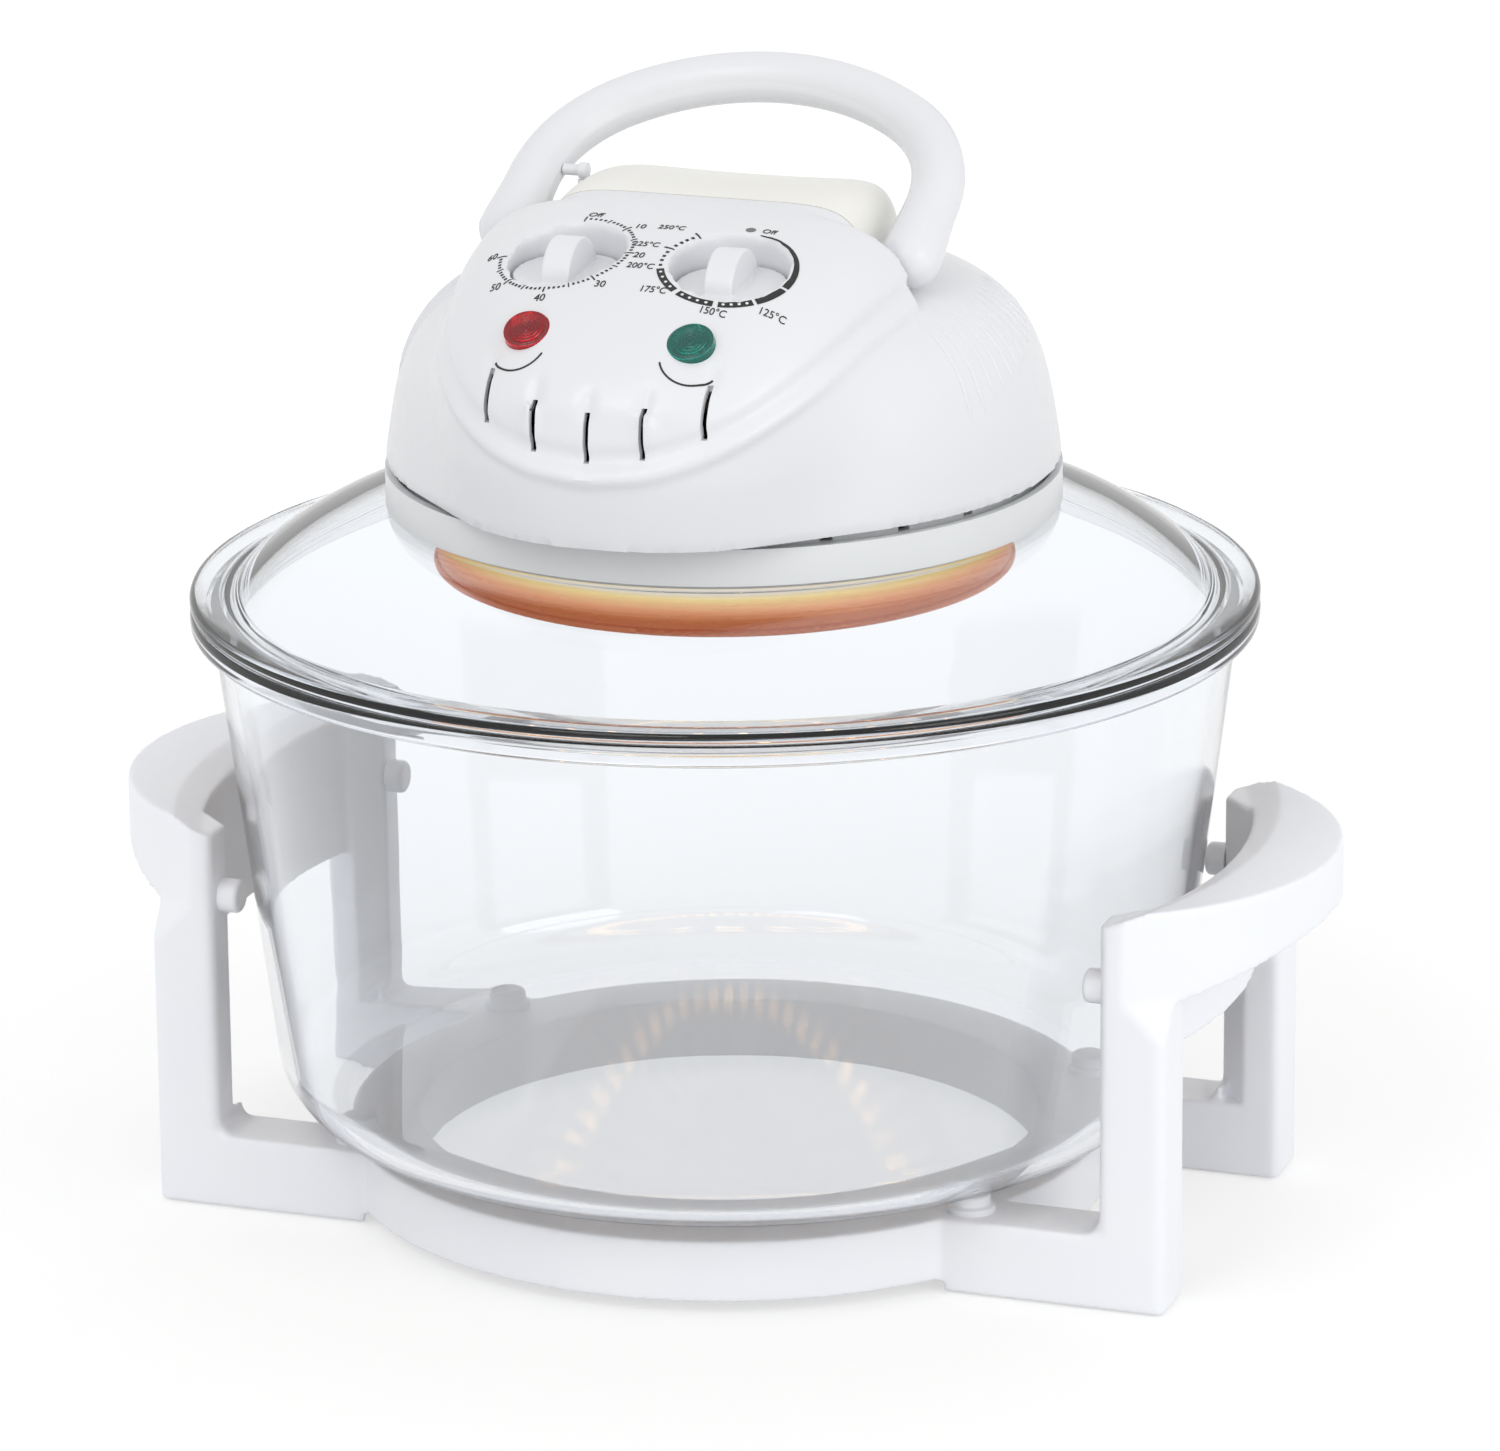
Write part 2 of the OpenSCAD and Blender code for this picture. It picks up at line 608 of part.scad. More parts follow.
// Places on the panel: x to the side, z out of the panel
module dial_place(side) translate([side * dial_x, dial_y, panel_z - 8.1]) rotate([knob_tilt, 0, 0]) children();

module lens_place(side) translate([side * dial_x, lens_y, panel_z - 23.4]) rotate([lens_tilt, 0, 0]) children();

well_r = knob_r + 0.8;

module control_panel() color(white) difference() {
    sheet_shell(panel_rows, drawn_in(panel_rows, panel_core, shell));
    dome_body();
    for (side = [-1, 1]) {
        dial_place(side) translate([0, 0, -10]) cylinder(r = well_r, h = 30);
        lens_place(side) translate([0, 0, -10]) cylinder(r = lens_r + 0.1, h = 20);
    }
    for (i = [-2 : 2]) translate([i * slot_pitch - slot_w / 2, -front_reach - 10, dome_z + 26.4 + 1.95 * i * i])
        cube([slot_w, 24, slot_h]);
}

module rear_cover() color([0.93, 0.92, 0.88]) difference() {
    sheet_shell(rear_rows, drawn_in(rear_rows, [0, seam_y + 20, deck_z - 14], shell));
    dome_body();
    plunger_place() translate([0, 0, -30]) cylinder(r = 2.4, h = 60);
    translate([-80, hinge_y, hinge_z]) rotate([0, 90, 0]) cylinder(r = rod_r + 0.5, h = 160);
}

// Cups under the panel that the knobs sit in, with the hole for the shaft
module dial_wells() color([0.9, 0.9, 0.89]) difference() {
    for (side = [-1, 1]) dial_place(side) difference() {
        rotate_extrude() polygon([[knob_shaft_r + 0.5, -well_depth - 2], [well_r + 1.5, -well_depth - 2],
            [well_r + 1.5, 4], [well_r, 4], [well_r, -well_depth], [knob_shaft_r + 0.5, -well_depth]]);
        rotate([panel_tilt - knob_tilt, 0, 0]) rotate([0, 7 * side, 0]) translate([-40, -40, -2]) cube(80);
    }
    sheet_shell(panel_rows, drawn_in(panel_rows, panel_core, shell + 0.1));
}

grip_bar_r = (pow(grip_bar_l / 2, 2) + pow(grip_bar_h, 2)) / (2 * grip_bar_h);

// Round disc with a half-moon bar across it
module knob() {
    translate([0, 0, loose - well_depth]) cylinder(r = knob_r, h = well_depth - knob_sunk - loose);
    intersection() {
        translate([-grip_bar_w / 2, 0, grip_bar_h - knob_sunk - grip_bar_r]) rotate([0, 90, 0])
            cylinder(r = grip_bar_r, h = grip_bar_w);
        translate([-knob_r, -knob_r, -knob_sunk - 1]) cube([2 * knob_r, 2 * knob_r, 20]);
    }
    translate([0, 0, -well_depth - 12]) cylinder(r = knob_shaft_r, h = 13);
}

module timer_knob() color("white") dial_place(-1) knob();

module temperature_knob() color("white") dial_place(1) knob();

module unit_box(room) translate([-unit_w / 2 - room, -unit_w / 2 - room, -well_depth - 5 - unit_h - room])
    cube([unit_w + 2 * room, unit_w + 2 * room, unit_h + 2 * room]);

// Switch body behind a dial, with the bore that the knob's shaft turns in
module dial_unit(side) dial_place(side) difference() {
    union() {
        unit_box(0);
        translate([0, 0, -well_depth - 6]) cylinder(r = 7, h = 3.8);
    }
    translate([0, 0, -well_depth - 13]) cylinder(r = knob_shaft_r + running, h = 14);
}

module timer_unit() color("gray") dial_unit(-1);

module thermostat_unit() color("tan") dial_unit(1);

module lens() {
    rotate_extrude() polygon(concat([[0, -6]], [[lens_r, -6], [lens_r, 0.4]],
        [for (a = [0 : 15 : 90]) [(lens_r - 1) * cos(a) , 0.8 + 1.6 * sin(a)]]));
}

module power_lens() color("darkred") lens_place(-1) lens();

module heat_lens() color("teal") lens_place(1) lens();

module indicator_lamps() color("orange") for (side = [-1, 1]) lens_place(side) {
    translate([0, 0, -18]) cylinder(r = 3, h = 11.8);
    translate([0, 0, -20]) cylinder(r = 4.5, h = 4);
}

// Carrying handle

arch_drop = (pow(arm_x - arch_corner_r, 2) - pow(arch_rise - arch_corner_r, 2)) / (2 * (arch_rise - arch_corner_r));
arch_top_r = arch_rise + arch_drop;
arch_turn = atan2(arm_x - arch_corner_r, arch_drop);
arm_len = handle_len - arch_rise;

// The handle's own frame: x along the hinge, y from the hinge to the arch
module handle_place() translate([0, hinge_y, hinge_z]) rotate([handle_lean, 0, 0]) children();

// Stations along the right half of the handle, as [x, y, direction outward, radius]
handle_half = concat(
    [for (b = [10 : 16 : 74]) [arm_x, -arm_end_r * cos(b), 0, arm_end_r * sin(b)]],
    [for (i = [0 : 4]) [arm_x, arm_len * i / 4, 0, tube_r + (arm_end_r - tube_r) * (1 + cos(45 * i)) / 2]],
    [for (i = [1 : 9]) let (a = (90 - arch_turn) * i / 9)
        [arm_x - arch_corner_r + arch_corner_r * cos(a), arm_len + arch_corner_r * sin(a), a, tube_r]],
    [for (i = [1 : 7]) let (a = 90 - arch_turn + arch_turn * i / 7)
        [arch_top_r * cos(a), arm_len - arch_drop + arch_top_r * sin(a), a, tube_r]]);
handle_path = concat(handle_half, [for (i = [len(handle_half) - 2 : -1 : 0]) let (h = handle_half[i])
    [-h[0], h[1], 180 - h[2], h[3]]]);

module carry_handle() color(white) difference() {
    handle_place() full_body([for (h = handle_path) [for (k = [0 : 15 : 345])
        [h[0] + h[3] * cos(k) * cos(h[2]), h[1] + h[3] * cos(k) * sin(h[2]), -h[3] * sin(k)]]]);
    translate([-rod_half - 0.5, hinge_y, hinge_z]) rotate([0, 90, 0]) cylinder(r = rod_r + running, h = 2 * rod_half + 1);
}

module safety_peg() color(white) handle_place() translate([-arm_x + tube_r + 0.4, peg_at, 0]) rotate([0, 90, 0]) {
    cylinder(r = peg_r * 0.7, h = peg_len);
    translate([0, 0, peg_len - 1.5]) cylinder(r = peg_r, h = 2.5);
}

module handle_rod() color("silver") translate([-rod_half, hinge_y, hinge_z]) rotate([0, 90, 0])
    cylinder(r = rod_r, h = 2 * rod_half);

module rod_brackets() color("silver") both_sides() translate([deck_hole_r + 1, hinge_y - 8, deck_z]) difference() {
    union() {
        cube([2, 16, hinge_up + 5.5]);
        cube([9, 16, 1.5]);
    }
    translate([-1, 8, hinge_up]) rotate([0, 90, 0]) cylinder(r = rod_r, h = 5);
}

// Safety switch: the peg on the left arm presses the plunger when the handle is folded down
module plunger_place() translate([-arm_in_x + peg_len + 0.1, hinge_y + peg_at * cos(handle_lean), deck_z]) children();

plunger_top = hinge_up + peg_at * sin(handle_lean) - peg_r - 0.4;

module switch_plunger() color("firebrick") plunger_place() {
    translate([0, 0, -shell - 6.5]) cylinder(r = 2, h = shell + 6.5 + plunger_top);
    translate([0, 0, -shell - 2.2]) cylinder(r = 3, h = 1.2);
}

module microswitch() color("black") plunger_place() difference() {
    translate([-4, -10, -shell - 13]) cube([8, 20, 9]);
    translate([0, 0, -shell - 9]) cylinder(r = 2 + running, h = 10);
}

// Heater

module reflector_pan() color("silver") difference() {
    union() {
        translate([0, 0, base_z - steel_t]) ring(pan_r, 6, steel_t);
        translate([0, 0, pan_z]) ring(pan_r, pan_r - steel_t, pan_depth);
        translate([0, 0, pan_z]) ring(pan_r, pan_r - 4, steel_t);
        translate([0, 0, pan_z + 1.2]) rotate_extrude() translate([pan_r, 0]) circle(r = 1.2, $fn = 24);
    }
    for (i = [0 : pan_slots - 1]) rotate([0, 0, 360 / pan_slots * i])
        translate([pan_r - 3, -1.2, base_z - steel_t - 5]) cube([6, 2.4, 4]);
    lamp_ends() translate([0, 0, -20]) cylinder(r = lamp_end_r + 1, h = 40);
    for (a = [0 : 120 : 240]) rotate([0, 0, a + 30]) translate([boss_at - 30, 0, base_z - 2])
        cylinder(r = screw_r + 0.1, h = 3);
    sensor_place() translate([0, 0, -20]) cylinder(r = 1.8, h = 60);
}

module lamp_guard() color("silver") translate([0, 0, pan_z + steel_t]) difference() {
    cylinder(r = pan_r - steel_t - 0.2, h = 0.8);
    for (i = [0 : 23]) rotate([0, 0, 15 * i]) translate([22, -2, -1]) cube([24, 4, 3]);
    for (i = [0 : 35]) rotate([0, 0, 10 * i]) translate([52, -3, -1]) cube([26, 6, 3]);
    for (i = [0 : 7]) rotate([0, 0, 45 * i]) translate([8, -2, -1]) cube([9, 4, 3]);
}

lamp_gap = 24;
lamp_end_r = lamp_tube_r + 0.6;

// Upright axes of the lamp's two ends
module lamp_ends() for (s = [-1, 1]) rotate([0, 0, 90 + s * lamp_gap / 2])
    translate([lamp_ring_r, 0, lamp_z]) children();

module halogen_tube() color("orange") {
    translate([0, 0, lamp_z]) rotate([0, 0, 90 + lamp_gap / 2]) rotate_extrude(angle = 360 - lamp_gap)
        translate([lamp_ring_r, 0]) circle(r = lamp_tube_r, $fn = smooth);
    lamp_ends() translate([0, 0, -lamp_end_r]) cylinder(r = lamp_end_r, h = base_z + floor_t + 8 - lamp_z + lamp_end_r);
}

module tube_holders() color("ivory") for (s = [-1, 1]) rotate([0, 0, 90 + s * lamp_gap / 2])
    translate([lamp_ring_r, 0, base_z + floor_t]) difference() {
        translate([-8, -7, 0]) cube([16, 14, 14]);
        translate([0, 0, -1]) cylinder(r = lamp_end_r + 0.05, h = 9);
    }

// Thermostat's bulb, hung through the pan on its own stem
module sensor_place() rotate([0, 0, 250]) translate([55, 0, lamp_z + 3]) children();

module sensor_bulb() color("peru") sensor_place() {
    rotate([90, 0, 0]) cylinder(r = 2.2, h = 16, center = true);
    cylinder(r = 1.2, h = base_z + floor_t + 3 - lamp_z - 3);
    translate([0, 0, base_z + floor_t - lamp_z - 3]) cylinder(r = 4, h = 2);
}

// Motor and fans

module motor_bracket() color("silver") difference() {
    union() {
        translate([-38, -12, motor_z - 1.5]) cube([76, 24, 1.5]);
        for (s = [-1, 1]) {
            translate([s * 37.25 - 0.75, -12, base_z + floor_t]) cube([1.5, 24, motor_z - base_z - floor_t]);
            translate([s * 41 - 4.5, -12, base_z + floor_t]) cube([9, 24, 1.5]);
        }
    }
    translate([0, 0, motor_z - 3]) cylinder(r = 8, h = 5);
}

module motor_can() color("dimgray") translate([0, 0, motor_z]) difference() {
    cylinder(r = motor_r, h = motor_h);
    translate([0, 0, -1]) cylinder(r = shaft_r + running, h = motor_h + 2);
}

fan_z = pan_z + 5;
cool_fan_z = motor_z + motor_h + 3;

module motor_shaft() color("lightgray") translate([0, 0, fan_z - 1]) {
    cylinder(r = shaft_r, h = cool_fan_z + 9 - fan_z);
    translate([0, 0, motor_z - fan_z - 1]) cylinder(r = 5, h = 1.8);
}

// Pressed fan: a hub, a flat disc and upright blades
module fan(r, h) {
    difference() {
        union() {
            cylinder(r = 6, h = h);
            cylinder(r = 0.55 * r, h = 1);
            for (i = [0 : fan_blades - 1]) rotate([0, 0, 360 / fan_blades * i]) translate([4, 0, 0]) {
                rotate([30, 0, 0]) translate([0, -h / 2, 0]) cube([r - 5, h, 1]);
            }
        }
        translate([0, 0, -1]) cylinder(r = shaft_r, h = h + 2);
        translate([0, 0, -h]) cylinder(r = r + 5, h = h);
    }
}

module convection_fan() color("silver") translate([0, 0, fan_z]) fan(fan_r, 9);

module cooling_fan() color("lightgray") translate([0, 0, cool_fan_z]) fan(cool_fan_r, 7);

module housing_screws() color("gray") at_screws(boss_at) translate([0, 0, base_z + 0.2]) {
    cylinder(r = 2 * screw_r, h = 2.4);
    cylinder(r = screw_r - 0.1, h = ledge_z - base_z + 10);
}

module pan_screws() color("gray") for (a = [0 : 120 : 240]) rotate([0, 0, a + 30])
    translate([boss_at - 30, 0, base_z]) {
        translate([0, 0, -steel_t - 2]) cylinder(r = 2 * screw_r, h = 2);
        translate([0, 0, -steel_t]) cylinder(r = screw_r, h = floor_t + steel_t + 1);
    }

module cord_gland() color("dimgray") translate([0, base_r + 3.2, dome_z + 16]) rotate([90, 0, 0]) difference() {
    union() {
        cylinder(r1 = inlet_r + 2.5, r2 = inlet_r + 3.5, h = 4.5);
        translate([0, 0, 4.5]) cylinder(r = inlet_r + 2, h = 9);
        translate([0, 0, 9.8]) cylinder(r = inlet_r + 3.5, h = 3);
    }
    translate([0, 0, -1]) cylinder(r = inlet_r, h = 20);
}

base_frame();
left_side_frame();
right_side_frame();
foot_pads();
bowl_rest_pegs();
side_bumpers();
stand_screws();
glass_bowl();
glass_lid();
lid_gasket();
lower_housing();
upper_housing();
control_panel();
rear_cover();
dial_wells();
timer_knob();
temperature_knob();
timer_unit();
thermostat_unit();
power_lens();
heat_lens();
indicator_lamps();
carry_handle();
safety_peg();
handle_rod();
rod_brackets();
microswitch();
switch_plunger();
reflector_pan();
lamp_guard();
halogen_tube();
tube_holders();
sensor_bulb();
motor_bracket();
motor_can();
motor_shaft();
convection_fan();
cooling_fan();
housing_screws();
pan_screws();
cord_gland();
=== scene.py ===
# Halogen oven: white moulded stand, glass bowl and lid, heater head with dials, lamps and a folding handle.
import math
import bpy
import bmesh
import numpy as np
from mathutils import Matrix, Vector
from mathutils.bvhtree import BVHTree


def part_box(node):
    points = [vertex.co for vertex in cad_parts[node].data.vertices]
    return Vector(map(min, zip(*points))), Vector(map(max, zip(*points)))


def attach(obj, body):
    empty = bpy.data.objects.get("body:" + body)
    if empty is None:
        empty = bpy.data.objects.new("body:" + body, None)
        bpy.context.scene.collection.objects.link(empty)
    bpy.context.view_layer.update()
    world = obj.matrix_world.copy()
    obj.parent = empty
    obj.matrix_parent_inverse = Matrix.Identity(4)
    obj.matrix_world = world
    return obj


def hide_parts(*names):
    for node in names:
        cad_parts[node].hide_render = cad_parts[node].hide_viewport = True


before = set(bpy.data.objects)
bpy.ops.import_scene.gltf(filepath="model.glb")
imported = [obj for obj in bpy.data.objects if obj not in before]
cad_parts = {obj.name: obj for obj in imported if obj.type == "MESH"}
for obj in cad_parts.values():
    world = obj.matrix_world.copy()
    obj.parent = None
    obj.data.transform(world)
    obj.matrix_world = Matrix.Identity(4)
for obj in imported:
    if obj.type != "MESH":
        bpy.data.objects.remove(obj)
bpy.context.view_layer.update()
scene = bpy.context.scene
mm = 0.001
print("stage: frame loaded")


# small tools

def hexLinear(text, alpha=1.0):
    values = [int(text[i:i + 2], 16) / 255 for i in (1, 3, 5)]
    return [v / 12.92 if v <= 0.04045 else ((v + 0.055) / 1.055) ** 2.4 for v in values] + [alpha]


def addNode(tree, kind, sockets=None, **settings):
    item = tree.nodes.new(kind)
    for key, value in settings.items():
        setattr(item, key, value)
    for key, value in (sockets or {}).items():
        if isinstance(value, bpy.types.NodeSocket):
            tree.links.new(value, item.inputs[key])
        else:
            item.inputs[key].default_value = value
    return item


def startMaterial(name):
    material = bpy.data.materials.new(name)
    material.use_nodes = True
    tree = material.node_tree
    shader = tree.nodes["Principled BSDF"]
    place = addNode(tree, "ShaderNodeTexCoord").outputs["Object"]
    return material, tree, shader, place


def relief(tree, shader, pattern, rough, strength, depthMm, spread=(0.3, 0.7)):
    # one pattern gives the surface both its uneven gloss and its fine relief
    gloss = addNode(tree, "ShaderNodeMapRange", {"Value": pattern, "From Min": spread[0], "From Max": spread[1],
                                                 "To Min": rough[0], "To Max": rough[1]})
    tree.links.new(gloss.outputs["Result"], shader.inputs["Roughness"])
    bump = addNode(tree, "ShaderNodeBump", {"Height": pattern, "Strength": strength, "Distance": depthMm * mm})
    tree.links.new(bump.outputs["Normal"], shader.inputs["Normal"])


def patchyTone(tree, shader, pattern, look, top):
    # the colour drifts between two near tones
    tone = addNode(tree, "ShaderNodeValToRGB", {"Fac": pattern})
    tone.color_ramp.elements[0].position, tone.color_ramp.elements[1].position = 0.3, top
    tone.color_ramp.elements[0].color = hexLinear(look["deep"])
    tone.color_ramp.elements[1].color = hexLinear(look["colour"])
    tree.links.new(tone.outputs["Color"], shader.inputs["Base Color"])


def newObject(name, mesh):
    piece = bpy.data.objects.new(name, mesh)
    scene.collection.objects.link(piece)
    return piece


def meshFrom(shape, name, material):
    mesh = bpy.data.meshes.new(name)
    shape.to_mesh(mesh)
    shape.free()
    mesh.materials.clear()
    mesh.materials.append(material)
    return mesh


def meshPiece(name, points, faces, material):
    mesh = bpy.data.meshes.new(name)
    mesh.from_pydata([[c * mm for c in p] for p in points], [], faces)
    shape = bmesh.new()
    shape.from_mesh(mesh)
    bmesh.ops.remove_doubles(shape, verts=shape.verts, dist=0.002 * mm)
    bmesh.ops.recalc_face_normals(shape, faces=shape.faces)
    shape.to_mesh(mesh)
    shape.free()
    mesh.materials.append(material)
    mesh.shade_smooth()
    return newObject(name, mesh)


def settled(piece):
    graph = bpy.context.evaluated_depsgraph_get()
    mesh = bpy.data.meshes.new_from_object(piece.evaluated_get(graph), depsgraph=graph)
    mesh.name = piece.name
    piece.modifiers.clear()
    piece.data = mesh
    return piece


def evened(piece, voxelMm, passes):
    # one even skin, its edges softened as they leave the mould
    remesh = piece.modifiers.new("even", "REMESH")
    remesh.mode, remesh.voxel_size, remesh.use_smooth_shade = "VOXEL", voxelMm * mm, True
    smooth = piece.modifiers.new("soft", "SMOOTH")
    smooth.factor, smooth.iterations = 0.5, passes
    return piece


def creased(piece, degrees=32):
    bpy.context.view_layer.objects.active = piece
    for other in bpy.context.selected_objects:
        other.select_set(False)
    piece.select_set(True)
    bpy.ops.object.shade_smooth_by_angle(angle=math.radians(degrees))
    piece.select_set(False)
    return piece


def bezier(points, t):
    a, b, c, d = (np.array(p, float) for p in points)
    return (1 - t) ** 3 * a + 3 * t * (1 - t) ** 2 * b + 3 * t * t * (1 - t) * c + t ** 3 * d


def sheetFaces(n, m):
    # faces of a sheet of m rows with n points each
    return [(i * n + j, i * n + j + 1, (i + 1) * n + j + 1, (i + 1) * n + j)
            for i in range(m - 1) for j in range(n - 1)]


def arc(centre, radius, start, end, steps=10):
    angles = [math.radians(start + (end - start) * i / steps) for i in range(steps + 1)]
    return [(centre[0] + radius * math.cos(a), centre[1] + radius * math.sin(a)) for a in angles]


# finishes

def mouldedPlastic(name, look):
    # injection moulded plastic: even colour, a faint orange peel and uneven gloss from handling
    material, tree, shader, place = startMaterial(name)
    cloud = addNode(tree, "ShaderNodeTexNoise", {"Vector": place, "Scale": 1 / (look["cloudMm"] * mm),
                                                 "Detail": 2.0})
    patchyTone(tree, shader, cloud.outputs["Fac"], look, 0.7)
    peel = addNode(tree, "ShaderNodeTexNoise", {"Vector": place, "Scale": 1 / (look["grainMm"] * mm),
                                                "Detail": look.get("detail", 3.0)})
    relief(tree, shader, peel.outputs["Fac"], (look["rough"] - 0.04, look["rough"] + 0.05), look["bump"], 0.02)
    shader.inputs["IOR"].default_value = 1.49
    return material


evenGrain = dict(grainMm=3.5, bump=0.03, detail=0.0)  # a faint peel, coarser than the real one
plasticLooks = {
    # moulded ABS: an even, slightly cool white with a soft sheen
    "glossyWhiteAbs": dict(colour="#E3E4E7", deep="#E1E2E5", rough=0.34, cloudMm=60, **evenGrain),
    # the same plastic on the stand, a little brighter and bluer
    "coolWhiteAbs": dict(colour="#F3F5F9", deep="#F0F2F7", rough=0.34, cloudMm=70, **evenGrain),
    # the ring under the head: a touch lighter than the skirt, and it lies in the shade of the head
    "ringGreyAbs": dict(colour="#E7E9EA", deep="#E3E5E7", rough=0.36, cloudMm=50, **evenGrain),
    # the rear cover, warmer than the rest
    "creamAbs": dict(colour="#EEEDE8", deep="#EBEAE4", rough=0.36, cloudMm=50, **evenGrain),
    # pressed phenolic: dull and dense, as switch bodies are
    "blackPhenolic": dict(colour="#1C1C1E", deep="#161617", rough=0.50, cloudMm=12, grainMm=1.0, bump=0.5),
    "tanPhenolic": dict(colour="#8C7350", deep="#7C6545", rough=0.55, cloudMm=9, grainMm=1.0, bump=0.6),
    # rubber: nearly no shine, so it reads as dark and soft
    "greyRubber": dict(colour="#3A3A3C", deep="#333335", rough=0.75, cloudMm=9, grainMm=0.8, bump=0.7),
    # silicone: pale and matt, a soft line between glass and plastic
    "milkySilicone": dict(colour="#D9D9D6", deep="#CFCFCC", rough=0.55, cloudMm=15, grainMm=1.0, bump=0.4),
    # fired ceramic: chalky and quite matt
    "steatite": dict(colour="#E9E2D2", deep="#DDD5C3", rough=0.70, cloudMm=5, grainMm=0.7, bump=0.8),
    # printed ink: flat and dark against the gloss of the plastic
    "blackInk": dict(colour="#161616", deep="#202020", rough=0.55, cloudMm=2, grainMm=0.5, bump=0.2),
    "greyInk": dict(colour="#6A6A6A", deep="#727272", rough=0.55, cloudMm=2, grainMm=0.5, bump=0.2),
    # baked enamel: dark grey with a dim shine
    "motorEnamel": dict(colour="#3B3E42", deep="#33363A", rough=0.42, cloudMm=14, grainMm=1.0, bump=0.5),
}
finish = {name: mouldedPlastic(name, look) for name, look in plasticLooks.items()}


def workedMetal(name, look):
    # bare metal: marks lie closer along the axis with the larger stretch, and the tone is patchy
    material, tree, shader, place = startMaterial(name)
    shader.inputs["Metallic"].default_value = 1.0
    stretch = addNode(tree, "ShaderNodeMapping", {"Vector": place, "Scale": look["stretch"]})
    marks = addNode(tree, "ShaderNodeTexNoise", {"Vector": stretch.outputs["Vector"],
                                                 "Scale": 1 / (look["markMm"] * mm), "Detail": 4.0})
    patchyTone(tree, shader, marks.outputs["Fac"], look, 0.72)
    relief(tree, shader, marks.outputs["Fac"], (look["rough"] - 0.06, look["rough"] + 0.08), look["bump"], 0.02)
    if "glow" in look:
        # painted lamp light: an emission band, brightest at the upper edge and orange below it, stands for the
        # light of the lamp inside on the steel, which is no lamp itself
        height = addNode(tree, "ShaderNodeSeparateXYZ", {"Vector": place})
        low, high = (z * mm for z in look["glow"])
        band = addNode(tree, "ShaderNodeMapRange", {"Value": height.outputs["Z"],
                                                    "From Min": low, "From Max": high})
        lampGlow = addNode(tree, "ShaderNodeValToRGB", {"Fac": band.outputs["Result"]})
        for stop, (spot, colour) in enumerate(look["lampGlow"]):
            item = lampGlow.color_ramp.elements[stop] if stop < 2 else lampGlow.color_ramp.elements.new(spot)
            item.position, item.color = spot, hexLinear(colour)
        tree.links.new(lampGlow.outputs["Color"], shader.inputs["Emission Color"])
        shader.inputs["Emission Strength"].default_value = look["glowPower"]
    return material


metalLooks = {
    # pan steel painted brown and orange for the warm light of the lamp inside, with a painted glow band from its
    # emission
    "hotPanSteel": dict(colour="#7A5236", deep="#5F3E28", rough=0.32, markMm=4.0, stretch=(1, 1, 9), bump=0.3,
                        glow=(202.3, 224.3), glowPower=1.0,
                        lampGlow=((0.0, "#9A5640"), (0.64, "#FFFEF6"), (0.19, "#A15739"), (0.35, "#CC8253"),
                              (0.45, "#DDAE72"), (0.54, "#EBD68C"))),
    # rolled steel: bright and smooth, a little cloudy
    "brightRolledSteel": dict(colour="#C9C6C2", deep="#AFABA6", rough=0.24, markMm=4.0, stretch=(1, 1, 9),
                              bump=0.3),
    # zinc plate: bluish grey and cloudy, on screws, rods and brackets
    "zincPlatedSteel": dict(colour="#B9BBBD", deep="#9C9EA1", rough=0.38, markMm=1.5, stretch=(1, 1, 1),
                            bump=0.4),
    # pressed aluminium: pale, with a soft wide shine
    "pressedAluminium": dict(colour="#D6D7D9", deep="#BFC1C4", rough=0.34, markMm=3.0, stretch=(1, 5, 1),
                             bump=0.3),
    # drawn copper: warm and reddish
    "drawnCopper": dict(colour="#C98A63", deep="#B07450", rough=0.30, markMm=1.5, stretch=(1, 1, 4), bump=0.3),
}
finish.update({name: workedMetal(name, look) for name, look in metalLooks.items()})


def clearGlass(name, look):
    # pressed glass: faint waves from the mould bend what is seen through it, the mass is tinted
    material, tree, shader, place = startMaterial(name)
    shader.inputs["Base Color"].default_value = hexLinear(look["colour"])
    shader.inputs["Transmission Weight"].default_value = 1.0
    shader.inputs["IOR"].default_value = look["ior"]
    wave = addNode(tree, "ShaderNodeTexNoise", {"Vector": place, "Scale": 1 / (look["waveMm"] * mm),
                                                "Detail": 1.0})
    relief(tree, shader, wave.outputs["Fac"], (look["rough"], look["rough"] + 0.02), look["bump"], 0.3,
           (0.0, 1.0))
    if "paintedGlow" in look:
        # painted light: the part itself glows in its own colour, standing for the lamp behind it
        shader.inputs["Emission Color"].default_value = hexLinear(look["colour"])
        shader.inputs["Emission Strength"].default_value = look["paintedGlow"]
    if "mass" in look:
        mass = addNode(tree, "ShaderNodeVolumeAbsorption", {"Color": hexLinear(look["mass"]),
                                                            "Density": look["dense"]})
        tree.links.new(mass.outputs["Volume"], tree.nodes["Material Output"].inputs["Volume"])
    return material


glassLooks = {
    # pressed oven glass: clear, and blue grey where much of it is seen through
    "ovenGlass": dict(colour="#FBFCFD", ior=1.47, rough=0.0, waveMm=45, bump=0.2, mass="#9DB4D2", dense=8.5),
    # moulded acrylic: clear deep colour, with a faint painted glow that stands for the lamp behind
    "redAcrylic": dict(colour="#BE1D2A", paintedGlow=0.18, ior=1.49, rough=0.03, waveMm=3, bump=0.2),
    "greenAcrylic": dict(colour="#0F8A7D", paintedGlow=0.18, ior=1.49, rough=0.03, waveMm=3, bump=0.2),
    # blown glass: clear, with a faint warm tint
    "clearGlassBulb": dict(colour="#F2EFE8", ior=1.46, rough=0.02, waveMm=5, bump=0.1),
}
finish.update({name: clearGlass(name, look) for name, look in glassLooks.items()})


